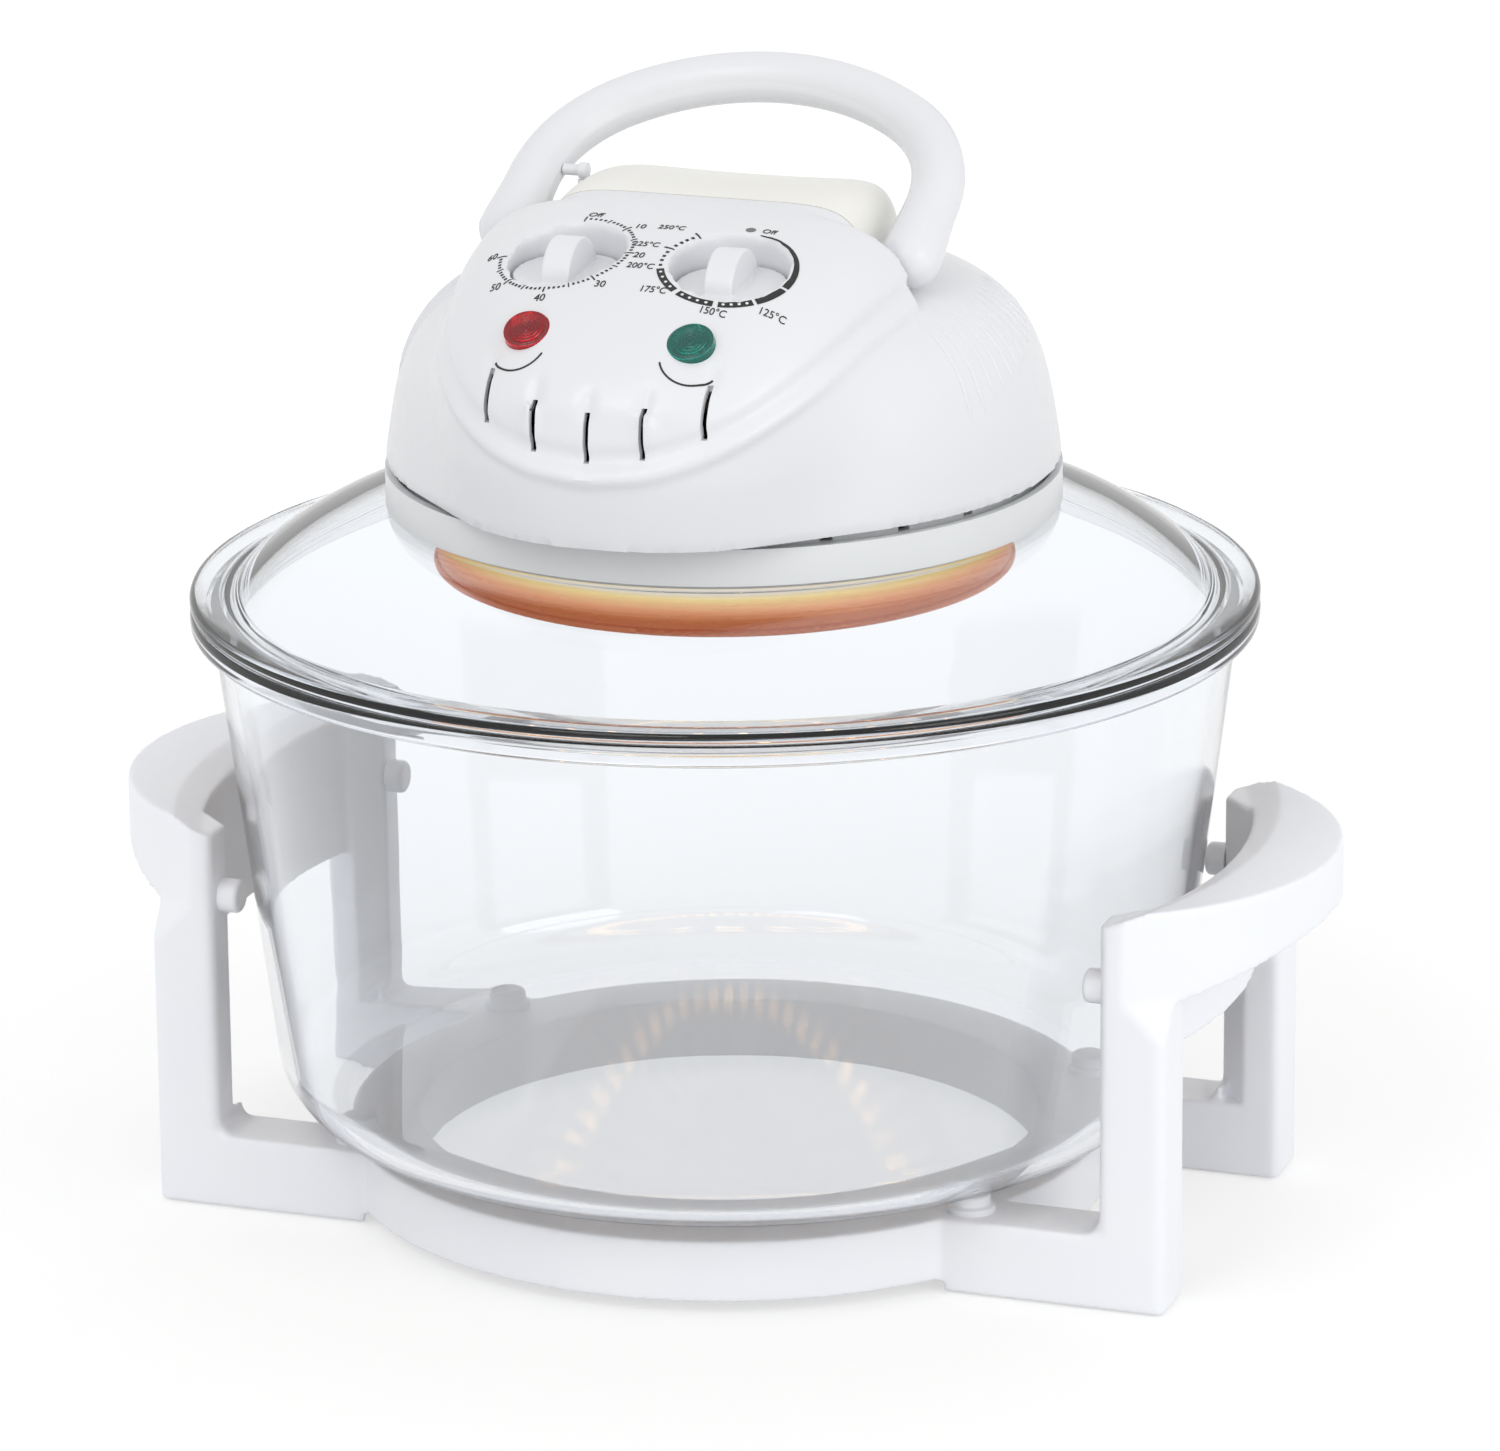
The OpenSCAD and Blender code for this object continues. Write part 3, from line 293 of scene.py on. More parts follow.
def glowingQuartz(name, look):
    # quartz tube with a lit filament: warm light, uneven as the coil behind the quartz is
    material, tree, shader, place = startMaterial(name)
    shader.inputs["Base Color"].default_value = hexLinear(look["colour"])
    shader.inputs["Roughness"].default_value = 0.12
    coil = addNode(tree, "ShaderNodeTexWave", {"Vector": place, "Scale": 60.0, "Distortion": 2.0},
                   wave_type="RINGS")
    lampGlow = addNode(tree, "ShaderNodeMapRange", {"Value": coil.outputs["Fac"], "To Min": look["low"],
                                                "To Max": look["high"]})
    tree.links.new(lampGlow.outputs["Result"], shader.inputs["Emission Strength"])
    shader.inputs["Emission Color"].default_value = hexLinear(look["glow"])
    return material


finish["litQuartz"] = glowingQuartz("litQuartz", dict(colour="#FFE9C8", glow="#FFC98A", low=5.0, high=9.0))
print("stage: finishes ready")


# Geometry Nodes trees

def startTree(name, inputs):
    tree = bpy.data.node_groups.new(name, "GeometryNodeTree")
    tree.interface.new_socket(name="Geometry", in_out="INPUT", socket_type="NodeSocketGeometry")
    for label, kind in inputs.items():
        tree.interface.new_socket(name=label, in_out="INPUT", socket_type=kind)
    tree.interface.new_socket(name="Geometry", in_out="OUTPUT", socket_type="NodeSocketGeometry")
    return tree, addNode(tree, "NodeGroupInput"), addNode(tree, "NodeGroupOutput")


def endTree(tree, given, result, shape):
    real = addNode(tree, "GeometryNodeRealizeInstances", {"Geometry": shape})
    dressed = addNode(tree, "GeometryNodeSetMaterial", {"Geometry": real.outputs["Geometry"],
                                                        "Material": given.outputs["Finish"]})
    tree.links.new(dressed.outputs["Geometry"], result.inputs["Geometry"])
    return tree


def grown(name, mesh, tree, values):
    piece = newObject(name, mesh)
    modifier = piece.modifiers.new("grow", "NODES")
    modifier.node_group = tree
    for item in tree.interface.items_tree:
        if item.in_out == "INPUT" and item.name in values:
            modifier[item.identifier] = values[item.name]
    return settled(piece)


def turnedTree():
    # a profile of edges (x out, y down) goes once round the upright axis
    tree, given, result = startTree("turnedPiece", {"Path radius": "NodeSocketFloat", "Steps": "NodeSocketInt",
                                                    "Finish": "NodeSocketMaterial"})
    path = addNode(tree, "GeometryNodeCurvePrimitiveCircle", {"Resolution": given.outputs["Steps"],
                                                              "Radius": given.outputs["Path radius"]})
    profile = addNode(tree, "GeometryNodeMeshToCurve", {"Mesh": given.outputs["Geometry"]})
    swept = addNode(tree, "GeometryNodeCurveToMesh", {"Curve": path.outputs["Curve"],
                                                      "Profile Curve": profile.outputs["Curve"]})
    welded = addNode(tree, "GeometryNodeMergeByDistance", {"Geometry": swept.outputs["Mesh"],
                                                           "Distance": 0.002 * mm})
    return endTree(tree, given, result, welded.outputs["Geometry"])


def repeatTree():
    # one small piece stands on every point, turned by the point's own angles
    tree, given, result = startTree("repeatedPiece", {"Piece": "NodeSocketObject",
                                                      "Finish": "NodeSocketMaterial"})
    source = addNode(tree, "GeometryNodeObjectInfo", {"Object": given.outputs["Piece"]})
    turn = addNode(tree, "GeometryNodeInputNamedAttribute", {"Name": "turn"}, data_type="FLOAT_VECTOR")
    angles = addNode(tree, "FunctionNodeEulerToRotation", {"Euler": turn.outputs["Attribute"]})
    placed = addNode(tree, "GeometryNodeInstanceOnPoints", {
        "Points": given.outputs["Geometry"], "Instance": source.outputs["Geometry"],
        "Rotation": angles.outputs["Rotation"]})
    return endTree(tree, given, result, placed.outputs["Instances"])


def sweepTree():
    # chains of edges become tubes: each point has its own thickness
    tree, given, result = startTree("sweptPiece", {"Section": "NodeSocketObject",
                                                   "Finish": "NodeSocketMaterial"})
    path = addNode(tree, "GeometryNodeMeshToCurve", {"Mesh": given.outputs["Geometry"]})
    upright = addNode(tree, "GeometryNodeSetCurveNormal", {"Curve": path.outputs["Curve"]}, mode="Z_UP")
    source = addNode(tree, "GeometryNodeObjectInfo", {"Object": given.outputs["Section"]})
    section = addNode(tree, "GeometryNodeMeshToCurve", {"Mesh": source.outputs["Geometry"]})
    thick = addNode(tree, "GeometryNodeInputNamedAttribute", {"Name": "thick"}, data_type="FLOAT")
    swept = addNode(tree, "GeometryNodeCurveToMesh", {
        "Curve": upright.outputs["Curve"], "Profile Curve": section.outputs["Curve"],
        "Scale": thick.outputs["Attribute"], "Fill Caps": True})
    return endTree(tree, given, result, swept.outputs["Mesh"])


turned, repeated, swept = turnedTree(), repeatTree(), sweepTree()


def turnedPiece(name, profile, material, steps=192, closed=True, place=None):
    # the profile is a list of (radius, height) in millimetres
    pathRadius = 50.0
    count = len(profile)
    mesh = bpy.data.meshes.new(name)
    edges = [(i, i + 1) for i in range(count - 1)] + ([(count - 1, 0)] if closed else [])
    mesh.from_pydata([((r - pathRadius) * mm, -z * mm, 0) for r, z in profile], edges, [])
    piece = grown(name, mesh, turned, {"Path radius": pathRadius * mm, "Steps": steps, "Finish": material})
    shape = bmesh.new()
    shape.from_mesh(piece.data)
    bmesh.ops.remove_doubles(shape, verts=shape.verts, dist=0.002 * mm)
    bmesh.ops.dissolve_degenerate(shape, dist=0.0005 * mm, edges=shape.edges)
    bmesh.ops.recalc_face_normals(shape, faces=shape.faces)
    if place:
        bmesh.ops.transform(shape, matrix=place, verts=shape.verts)
    shape.to_mesh(piece.data)
    shape.free()
    return creased(piece)


def pointMesh(name, points, turns=None, edges=(), thick=None):
    mesh = bpy.data.meshes.new(name)
    mesh.from_pydata([[c * mm for c in p] for p in points], list(edges), [])
    if turns is not None:
        layer = mesh.attributes.new("turn", "FLOAT_VECTOR", "POINT")
        layer.data.foreach_set("vector", np.array(turns, float).ravel())
    if thick is not None:
        layer = mesh.attributes.new("thick", "FLOAT", "POINT")
        layer.data.foreach_set("value", np.array(thick, float))
    return mesh


def repeatedPiece(name, single, points, turns, material):
    piece = grown(name, pointMesh(name, points, turns), repeated, {"Piece": single, "Finish": material})
    bpy.data.objects.remove(single)
    return creased(piece)


# stand: soft edged copies of the moulded frames

standLook = {"voxel": 0.95, "passes": 7, "keep": 0.42, "overlap": 3.0, "fillet": 5.0, "postX": 143.3,
             "barTop": 24, "barFront": 52, "barDepth": 22}


def filletWedge(shape, side, front):
    # the rounded corner between a post's inner face and its foot bar
    look = standLook
    r, x, z = look["fillet"], look["postX"], look["barTop"]
    outline = [(x + 2, z - 2), (x - r, z - 2)] + arc((x - r, z + r), r, -90, 0, 8) + [(x + 2, z + r)]
    near, far = look["barFront"] + 2.0, look["barFront"] + look["barDepth"] - 1.5
    rows = [[shape.verts.new((side * px * mm, front * y * mm, pz * mm)) for px, pz in outline]
            for y in (near, far)]
    count = len(outline)
    for k in range(count):
        shape.faces.new((rows[0][k], rows[0][(k + 1) % count], rows[1][(k + 1) % count], rows[1][k]))
    shape.faces.new(rows[0])
    shape.faces.new(rows[1])


def seamlessStand():
    look, nodes = standLook, ("base_frame", "left_side_frame", "right_side_frame")
    shape = bmesh.new()
    for node in nodes:
        part = bmesh.new()
        part.from_mesh(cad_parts[node].data)
        for v in part.verts:
            if "side" in node and v.co.z < (look["barTop"] + 0.5) * mm:
                v.co.z -= look["overlap"] * mm
        lowered = bpy.data.meshes.new("part")
        part.to_mesh(lowered)
        part.free()
        shape.from_mesh(lowered)
    for side in (-1, 1):
        for front in (-1, 1):
            filletWedge(shape, side, front)
    bmesh.ops.remove_doubles(shape, verts=shape.verts, dist=0.004 * mm)
    bmesh.ops.recalc_face_normals(shape, faces=shape.faces)
    mesh = meshFrom(shape, "whiteStand", finish["coolWhiteAbs"])
    for face in mesh.polygons:
        face.material_index = 0
    piece = evened(newObject("whiteStand", mesh), look["voxel"], look["passes"])
    fewer = piece.modifiers.new("fewer", "DECIMATE")
    fewer.ratio = look["keep"]
    settled(piece)
    piece.data.shade_smooth()
    return piece


moulding = seamlessStand()
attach(moulding, "stand")
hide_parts("base_frame", "left_side_frame", "right_side_frame")
print("stage: stand shell done", len(moulding.data.polygons))

pegLook = {"restRadius": 6, "restFoot": 7.5, "restHeight": 5.7, "bumperRadius": 5.3, "edge": 1.1}


def restPeg():
    low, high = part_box("bowl_rest_pegs")
    foot, top, r, f, e = low.z / mm, high.z / mm, pegLook["restRadius"], pegLook["restFoot"], pegLook["edge"]
    profile = [(0, 0), (f, 0)] + arc((f - 0.7, 1.3), 0.7, 0, 90, 4) + [(r + 0.5, 2.1), (r, 2.6)]
    profile += arc((r - e, top - foot - e), e, 0, 90, 6) + [(0, top - foot)]
    single = turnedPiece("restPegSingle", profile, finish["coolWhiteAbs"], steps=48)
    points = [(sx * 100, sy * 63, foot) for sx in (-1, 1) for sy in (-1, 1)]
    return repeatedPiece("bowlRestPegs", single, points, [(0, 0, 0)] * 4, finish["coolWhiteAbs"])


def sideBumper():
    low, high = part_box("side_bumpers")
    outer, r, e = 143.3, pegLook["bumperRadius"], 1.6
    lowPoints = np.array([v.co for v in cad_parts["side_bumpers"].data.vertices]) / mm
    tip = lowPoints[lowPoints[:, 0] > 0][:, 0].min()
    long = outer - tip
    profile = [(0, 0), (r, 0), (r, long - e)] + arc((r - e, long - e), e, 0, 90, 6)[1:] + [(0, long)]
    single = turnedPiece("bumperSingle", profile, finish["coolWhiteAbs"], steps=48)
    z = (low.z + high.z) / 2 / mm
    points = [(sx * outer, sy * 65, z) for sx in (-1, 1) for sy in (-1, 1)]
    turns = [(0, -sx * math.pi / 2, 0) for sx in (-1, 1) for sy in (-1, 1)]
    return repeatedPiece("sideBumpers", single, points, turns, finish["coolWhiteAbs"])


for piece, node in ((restPeg(), "bowl_rest_pegs"), (sideBumper(), "side_bumpers")):
    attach(piece, "stand")
    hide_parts(node)
print("stage: stand done")


# bowl and lid, turned from their glass profiles

bowlLook = {"floorR": 118.5, "cornerR": 23, "wall": 4.2, "draft": 7.1, "low": 30, "top": 193, "rim": 165,
            "bead": 6.5}


def bowlLine(inset, steps=18):
    look = bowlLook
    r, z = look["cornerR"] - inset, look["low"] + look["cornerR"]
    line = [(0, look["low"] + inset)] + arc((look["floorR"], z), r, -90, -look["draft"], steps)
    footR, footZ = line[-1]
    return line + [(footR + (look["top"] - footZ) * math.tan(math.radians(look["draft"])), look["top"])]


def glassBowl():
    look = bowlLook
    outer, inner = bowlLine(0), bowlLine(look["wall"])
    wallTop, beadLow = outer.pop(), look["top"] - look["bead"]
    meetR = wallTop[0] - (look["top"] - beadLow + 1.5) * math.tan(math.radians(look["draft"]))
    profile = outer + [(meetR, beadLow - 1.5), (meetR + 1.2, beadLow - 0.3)]
    profile += arc((look["rim"] - 2.4, beadLow + 2.4), 2.4, -90, 0, 8)
    profile += arc((look["rim"] - 2.2, look["top"] - 2.2), 2.2, 0, 90, 8)
    mouth = inner.pop()
    profile += arc((mouth[0] + 1.5, look["top"] - 1.5), 1.5, 90, 180, 6) + inner[::-1]
    return turnedPiece("glassBowl", profile, finish["ovenGlass"], steps=256, closed=False)


lidLook = {"inR": 152, "z": 197.6, "flange": 4.3, "thick": 4, "rise": 25, "collarR": 101, "holeR": 91, "lip": 6,
           "lipR": 153.58}


def glassLid():
    look = lidLook
    top, low = look["z"] + look["rise"], look["z"] - look["flange"]
    curve = [(look["inR"], look["z"]), (look["inR"] - 12, look["z"] + 0.5 * look["rise"]),
             (look["collarR"] + 20, top - 1.5), (look["collarR"], top)]
    over = [tuple(bezier(curve, i / 40)) for i in range(40, -1, -1)]
    under = [(r - look["thick"] * (1 - i / 40) - 1, z - look["thick"])
             for i, (r, z) in enumerate(over[::-1])]
    profile = arc((look["holeR"] + 1.2, top - look["thick"] + 1.2), 1.2, 270, 180, 4)
    profile += arc((look["holeR"] + 1.2, top - 1.2), 1.2, 180, 90, 4) + over
    profile += arc((165 - 2, look["z"] - 2), 2, 90, 0, 8) + arc((165 - 2, low + 2), 2, 0, -90, 8)
    profile += [(look["lipR"] + 0.6, low)] + arc((look["lipR"] - 1.4, low - look["lip"] + 1.4), 1.4, 0, -90, 5)
    profile += arc((look["lipR"] - 2.6, low - look["lip"] + 1.4), 1.4, 270, 180, 5) + under
    return turnedPiece("glassLid", profile, finish["ovenGlass"], steps=256)


for piece, body, node in ((glassBowl(), "bowl", "glass_bowl"), (glassLid(), "lid", "glass_lid")):
    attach(piece, body)
    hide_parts(node)
print("stage: glass done")


# heater head

headLook = {"voxel": 1.45, "passes": 3, "wall": 2.3, "domeZ": 238.1, "domeH": 61.4, "deckZ": 299.5,
            "panelZ": 321.3, "front": 118, "seamY": -16.0, "shoulderY": -24.5, "midW": 53.5}


def domeRow(t, sides=360):
    look = headLook
    curve = [(103.8, look["domeZ"]), (98.3, look["domeZ"] + 0.62 * look["domeH"]), (96.5, look["deckZ"] - 6),
             (46, look["deckZ"])]
    r, z = bezier(curve, t)
    up = (z - look["domeZ"]) / look["domeH"]
    front, spread = look["front"] + 3 * min(1, 3 * up), 28 + 10 * (1.2 * max(0, up)) ** 1.5
    row = []
    for j in range(sides):
        turn = 360 * j / sides - 180
        reach = r + max(0, front - r) * math.exp(-abs(turn / spread) ** 3)
        row.append((reach * math.sin(math.radians(turn)), -reach * math.cos(math.radians(turn)), z))
    return row


def stackedRings(rows):
    n, m = len(rows[0]), len(rows)
    faces = [(i * n + j, i * n + (j + 1) % n, (i + 1) * n + (j + 1) % n, (i + 1) * n + j)
             for i in range(m - 1) for j in range(n)]
    return [p for row in rows for p in row], faces + [list(range(n))[::-1], [(m - 1) * n + j for j in range(n)]]


wallLine = [(-120.8, 262.2), (-118.6, 280.1)]
topLine = [(-118.6, 280.1), (-117, 288.1), (-88, 319.3), (-24.5, 321.3)]
edgeLine = [(17, -119.4, 264.3), (53.2, -113, 271.6), (65.6, -81, 293.4), (70.5, -24.5, 297.7)]


def acrossRow(mid, edge, box, power, half=40):
    row = []
    for j in range(-half, half + 1):
        t = math.sin(math.radians(90 * j / half))
        drop = (1 - box) * t * t + box * (1 - math.sqrt(max(0, 1 - abs(t) ** power)))
        row.append((edge[0] * t, mid[0] + (edge[1] - mid[0]) * t * t, mid[1] + (edge[2] - mid[1]) * drop))
    return row


def panelRows(steps=56, share=0.25):
    rows = []
    for i in range(steps + 1):
        s = i / steps
        if s < share:
            mid = np.array(wallLine[0]) + (np.array(wallLine[1]) - np.array(wallLine[0])) * s / share
        else:
            mid = bezier(topLine, (s - share) / (1 - share))
        edge = bezier(edgeLine, s) - np.array([0, 0, 5 * max(0, s - 0.4)])
        rows.append(acrossRow(mid, edge, min(1, s / share), 4.5))
    look = headLook
    for y, power in ((look["shoulderY"] + 1.2, 6), (look["seamY"] - 0.3, 8), (look["seamY"] + 6, 8)):
        rows.append(acrossRow((y, look["panelZ"] + 0.3), (look["midW"], y, look["deckZ"] - 3.5), 1, power))
    return rows


def closedBelow(rows, floorZ):
    # a sheet of rows gets walls that run in and down from its border, and a bottom
    n, m = len(rows[0]), len(rows)
    points = [tuple(p) for row in rows for p in row]
    faces = sheetFaces(n, m)
    border = [j for j in range(n)] + [i * n + n - 1 for i in range(1, m)]
    border += [(m - 1) * n + j for j in range(n - 2, -1, -1)] + [i * n for i in range(m - 2, 0, -1)]
    start = len(points)
    points += [(points[k][0] * 0.86, -58 + (points[k][1] + 58) * 0.86, floorZ) for k in border]
    size = len(border)
    faces += [(border[k], border[(k + 1) % size], start + (k + 1) % size, start + k) for k in range(size)]
    faces.append([start + k for k in range(size)])
    return points, faces


def boxTool(low, high):
    shape = bmesh.new()
    bmesh.ops.create_cube(shape, size=1.0)
    size, middle = Vector(high) - Vector(low), (Vector(high) + Vector(low)) / 2
    bmesh.ops.scale(shape, vec=size, verts=shape.verts)
    bmesh.ops.translate(shape, vec=middle, verts=shape.verts)
    bmesh.ops.scale(shape, vec=(mm, mm, mm), verts=shape.verts)
    return shape


def drumTool(radius, low, high, place):
    shape = bmesh.new()
    bmesh.ops.create_cone(shape, cap_ends=True, segments=96, radius1=radius * mm, radius2=radius * mm,
                          depth=(high - low) * mm, matrix=Matrix.Translation((0, 0, (high + low) / 2 * mm)))
    bmesh.ops.transform(shape, matrix=place, verts=shape.verts)
    return shape


def cutAway(piece, tools, solver="EXACT"):
    # all cutters go into one mesh, and leave together
    joined = bpy.data.meshes.new("cutters")
    whole = bmesh.new()
    for tool in tools:
        part = bpy.data.meshes.new("cutter")
        tool.to_mesh(part)
        tool.free()
        whole.from_mesh(part)
        bpy.data.meshes.remove(part)
    bmesh.ops.recalc_face_normals(whole, faces=whole.faces)
    whole.to_mesh(joined)
    whole.free()
    cutter = newObject("cutters", joined)
    cut = piece.modifiers.new("cut", "BOOLEAN")
    cut.operation, cut.object, cut.solver = "DIFFERENCE", cutter, solver
    if solver == "EXACT":
        cut.use_self = False
    settled(piece)
    bpy.data.objects.remove(cutter)
    return piece


def turnedBy(degrees, axis):
    return Matrix.Rotation(math.radians(degrees), 4, axis)


def facePlaces(look):
    # one place on the left and one on the right of the panel
    return {side: Matrix.Translation((side * look["x"] * mm, look["y"] * mm, look["z"] * mm))
            @ turnedBy(look["tilt"], "X") for side in (-1, 1)}


dialLook = {"x": 25.7, "y": -64.5, "z": 313.2, "tilt": 6, "wellR": 17.8, "wellFloor": -10.6}
lensLook = {"x": 25.7, "y": -99, "z": 297.9, "tilt": 36, "r": 7}
dialPlaces, lensPlaces = facePlaces(dialLook), facePlaces(lensLook)
slotLook = {"apart": 17, "half": 0.85, "high": 15, "lowest": 264.5, "bend": 1.95}
slotTops = {i: slotLook["lowest"] + slotLook["bend"] * i * i + slotLook["high"] for i in range(-2, 3)}


def aboveEdge():
    # the room over the panel's lower edge, which the dome gives up to the panel
    line = [(17, -133, 261.7), (17, -121.5, 261.7)] + [tuple(bezier(edgeLine, i / 20)) for i in range(21)]
    shape = bmesh.new()
    rows = [[shape.verts.new((sx * x * mm, y * mm, (z + lift) * mm)) for x, y, z in line]
            for sx, lift in ((-1, 0), (1, 0), (1, 80), (-1, 80))]
    for k in range(len(line) - 1):
        for a in range(4):
            b = (a + 1) % 4
            shape.faces.new((rows[a][k], rows[b][k], rows[b][k + 1], rows[a][k + 1]))
    shape.faces.new([row[0] for row in rows])
    shape.faces.new([row[-1] for row in rows])
    bmesh.ops.triangulate(shape, faces=shape.faces)
    bmesh.ops.recalc_face_normals(shape, faces=shape.faces)
    return shape


def headSkin():
    look = headLook
    dome = meshPiece("domeBody", *stackedRings([domeRow(i / 44) for i in range(45)]), finish["glossyWhiteAbs"])
    cutAway(dome, [aboveEdge()])
    panel = meshPiece("panelBody", *closedBelow(panelRows(), 246), finish["glossyWhiteAbs"])
    cutAway(panel, [drumTool(dialLook["wellR"], dialLook["wellFloor"], 16, place)
                    for place in dialPlaces.values()])
    shape = bmesh.new()
    for body in (dome, panel):
        shape.from_mesh(body.data)
        bpy.data.objects.remove(body)
    piece = newObject("headSkin", meshFrom(shape, "headSkin", finish["glossyWhiteAbs"]))
    return settled(evened(piece, look["voxel"], look["passes"]))


def pressedNotches(piece):
    # a soft groove runs up from the top of each vent slot
    mesh = piece.data
    places = np.empty(len(mesh.vertices) * 3)
    mesh.vertices.foreach_get("co", places)
    places = places.reshape(-1, 3) / mm
    for i, top in slotTops.items():
        across = np.exp(-((places[:, 0] - i * slotLook["apart"]) / 2.1) ** 2)
        along = np.exp(-(np.maximum(0, np.abs(places[:, 2] - top - 2) - 1.5) / 2.6) ** 2)
        near = (places[:, 1] < -95) * across * along
        places[:, 1] += 1.3 * near
        places[:, 2] -= 0.5 * near
    # the skirt stands proud of the panel in a soft rim that runs down both flanks and under the slots
    edge = np.array([bezier(edgeLine, i / 40) for i in range(41)])
    turn = np.degrees(np.arctan2(np.abs(places[:, 0]), -places[:, 1]))
    edgeTurn = np.degrees(np.arctan2(edge[:, 0], -edge[:, 1]))
    rise = places[:, 2] - np.interp(turn, np.append(0, edgeTurn), np.append(262.6, edge[:, 2]))
    reach = np.hypot(places[:, 0], places[:, 1])
    share = np.clip((95 - turn) / 25, 0, 1) * (reach > 60)
    push = share * (1.5 * np.exp(-((rise + 2.6) / 2.4) ** 2) - 1.7 * np.exp(-((rise - 3.2) / 2.6) ** 2))
    places[:, 0] += push * places[:, 0] / np.maximum(reach, 1)
    places[:, 1] += push * places[:, 1] / np.maximum(reach, 1)
    mesh.vertices.foreach_set("co", (places * mm).ravel())
    mesh.update()


def openedBelow(piece):
    # the flat bottom goes, and the skin gets its wall
    look = headLook
    shape = bmesh.new()
    shape.from_mesh(piece.data)
    low = (look["domeZ"] + 1.2) * mm
    gone = [f for f in shape.faces if all(v.co.z < low for v in f.verts) or f.calc_center_median().z < low]
    bmesh.ops.delete(shape, geom=gone, context="FACES")
    for edge in shape.edges:
        if edge.is_boundary:
            for v in edge.verts:
                v.co.z = look["domeZ"] * mm
    shape.to_mesh(piece.data)
    shape.free()
    wall = piece.modifiers.new("wall", "SOLIDIFY")
    wall.thickness, wall.offset, wall.use_rim = look["wall"] * mm, -1, True
    return settled(piece)


headShell = headSkin()
pressedNotches(headShell)
skinTree = BVHTree.FromPolygons([v.co for v in headShell.data.vertices],
                                [tuple(p.vertices) for p in headShell.data.polygons])
openedBelow(headShell)
cutters = [boxTool((i * slotLook["apart"] - slotLook["half"], -130, top - slotLook["high"]),
                   (i * slotLook["apart"] + slotLook["half"], -104, top)) for i, top in slotTops.items()]
for side in (-1, 1):
    cutters.append(drumTool(3.6, -22, -5, dialPlaces[side]))
    cutters.append(drumTool(7.3, -17, -12.0, dialPlaces[side]))
    cutters.append(drumTool(lensLook["r"] + 0.1, -10, 8, lensPlaces[side]))
cutters.append(boxTool((-56, headLook["seamY"] - 0.25, 300.2), (56, 8, 330)))
plungerPlace = Matrix.Translation((-0.0496, 0.0128, 0.2995))
cutters.append(drumTool(2.4, -12, 20, plungerPlace))
cutters.append(drumTool(5.6, 90, 115, Matrix.Translation((0, 0, 0.2541)) @ turnedBy(-90, "X")))
cutAway(headShell, cutters, "MANIFOLD")
creased(headShell, 40)
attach(headShell, "lid")
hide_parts("upper_housing", "control_panel", "dial_wells")
print("stage: head shell done", len(headShell.data.polygons))


# rear cover

def rearCover():
    look, length, rearY = headLook, 67, headLook["seamY"] + 67
    mid = [(look["seamY"], look["panelZ"] + 0.4), (look["seamY"] + 0.4 * length, look["panelZ"] + 3.5),
           (rearY, look["panelZ"] - 1), (rearY, look["deckZ"] - 4)]
    wide, foot = look["midW"], look["deckZ"] - 4
    edge = [(wide, look["seamY"], foot), (wide + 2, look["seamY"] + 0.6 * length, foot), (wide - 8, rearY, foot),
            (14, rearY, foot)]
    rows = [acrossRow(bezier(mid, i / 48), bezier(edge, i / 48), 1, 8 + 4 * min(1, 3 * i / 48))
            for i in range(49)]
    n, m = len(rows[0]), len(rows)
    piece = meshPiece("rearCover", [p for row in rows for p in row], sheetFaces(n, m), finish["creamAbs"])
    if piece.data.polygons[(m // 2) * (n - 1) + n // 2].normal.z < 0:
        piece.data.flip_normals()
    wall = piece.modifiers.new("wall", "SOLIDIFY")
    wall.thickness, wall.offset, wall.use_rim = 2.3 * mm, -1, True
    settled(piece)
    rodPlace = Matrix.Translation((0, -0.012, 0.3065)) @ turnedBy(90, "Y")
    cutAway(piece, [drumTool(2.4, -12, 26, plungerPlace), drumTool(3.6, -80, 80, rodPlace)])
    return creased(piece, 40)


cover = rearCover()
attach(cover, "lid")
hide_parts("rear_cover")


# carry handle, swept in its own plane and then leant back

handleLook = {"armX": 64.5, "armLen": 24.0, "cornerR": 48.0, "rise": 53.5, "tube": 8.2, "end": 9.5,
              "lean": 28.5, "hingeY": -12.0, "hingeZ": 306.5}


def handlePath():
    look = handleLook
    armX, armLen, cornerR = look["armX"], look["armLen"], look["cornerR"]
    over = look["rise"] - cornerR
    drop = ((armX - cornerR) ** 2 - over ** 2) / (2 * over)
    topR, turn = look["rise"] + drop, math.atan2(armX - cornerR, drop)
    line = [(armX, -look["end"] * math.cos(math.radians(b)), look["end"] * math.sin(math.radians(b)))
            for b in (6, 16, 28, 42, 56, 70, 82)]
    thin, thicker = look["tube"], look["end"] - look["tube"]
    line += [(armX, armLen * i / 8, thin + thicker * (1 + math.cos(math.pi * i / 8)) / 2) for i in range(9)]
    corner = math.pi / 2 - turn
    line += [(armX - cornerR + cornerR * math.cos(corner * i / 24), armLen + cornerR * math.sin(corner * i / 24),
              look["tube"]) for i in range(1, 25)]
    line += [(topR * math.cos(corner + turn * i / 14), armLen - drop + topR * math.sin(corner + turn * i / 14),
              look["tube"]) for i in range(1, 15)]
    return line + [(-x, y, r) for x, y, r in line[-2::-1]]


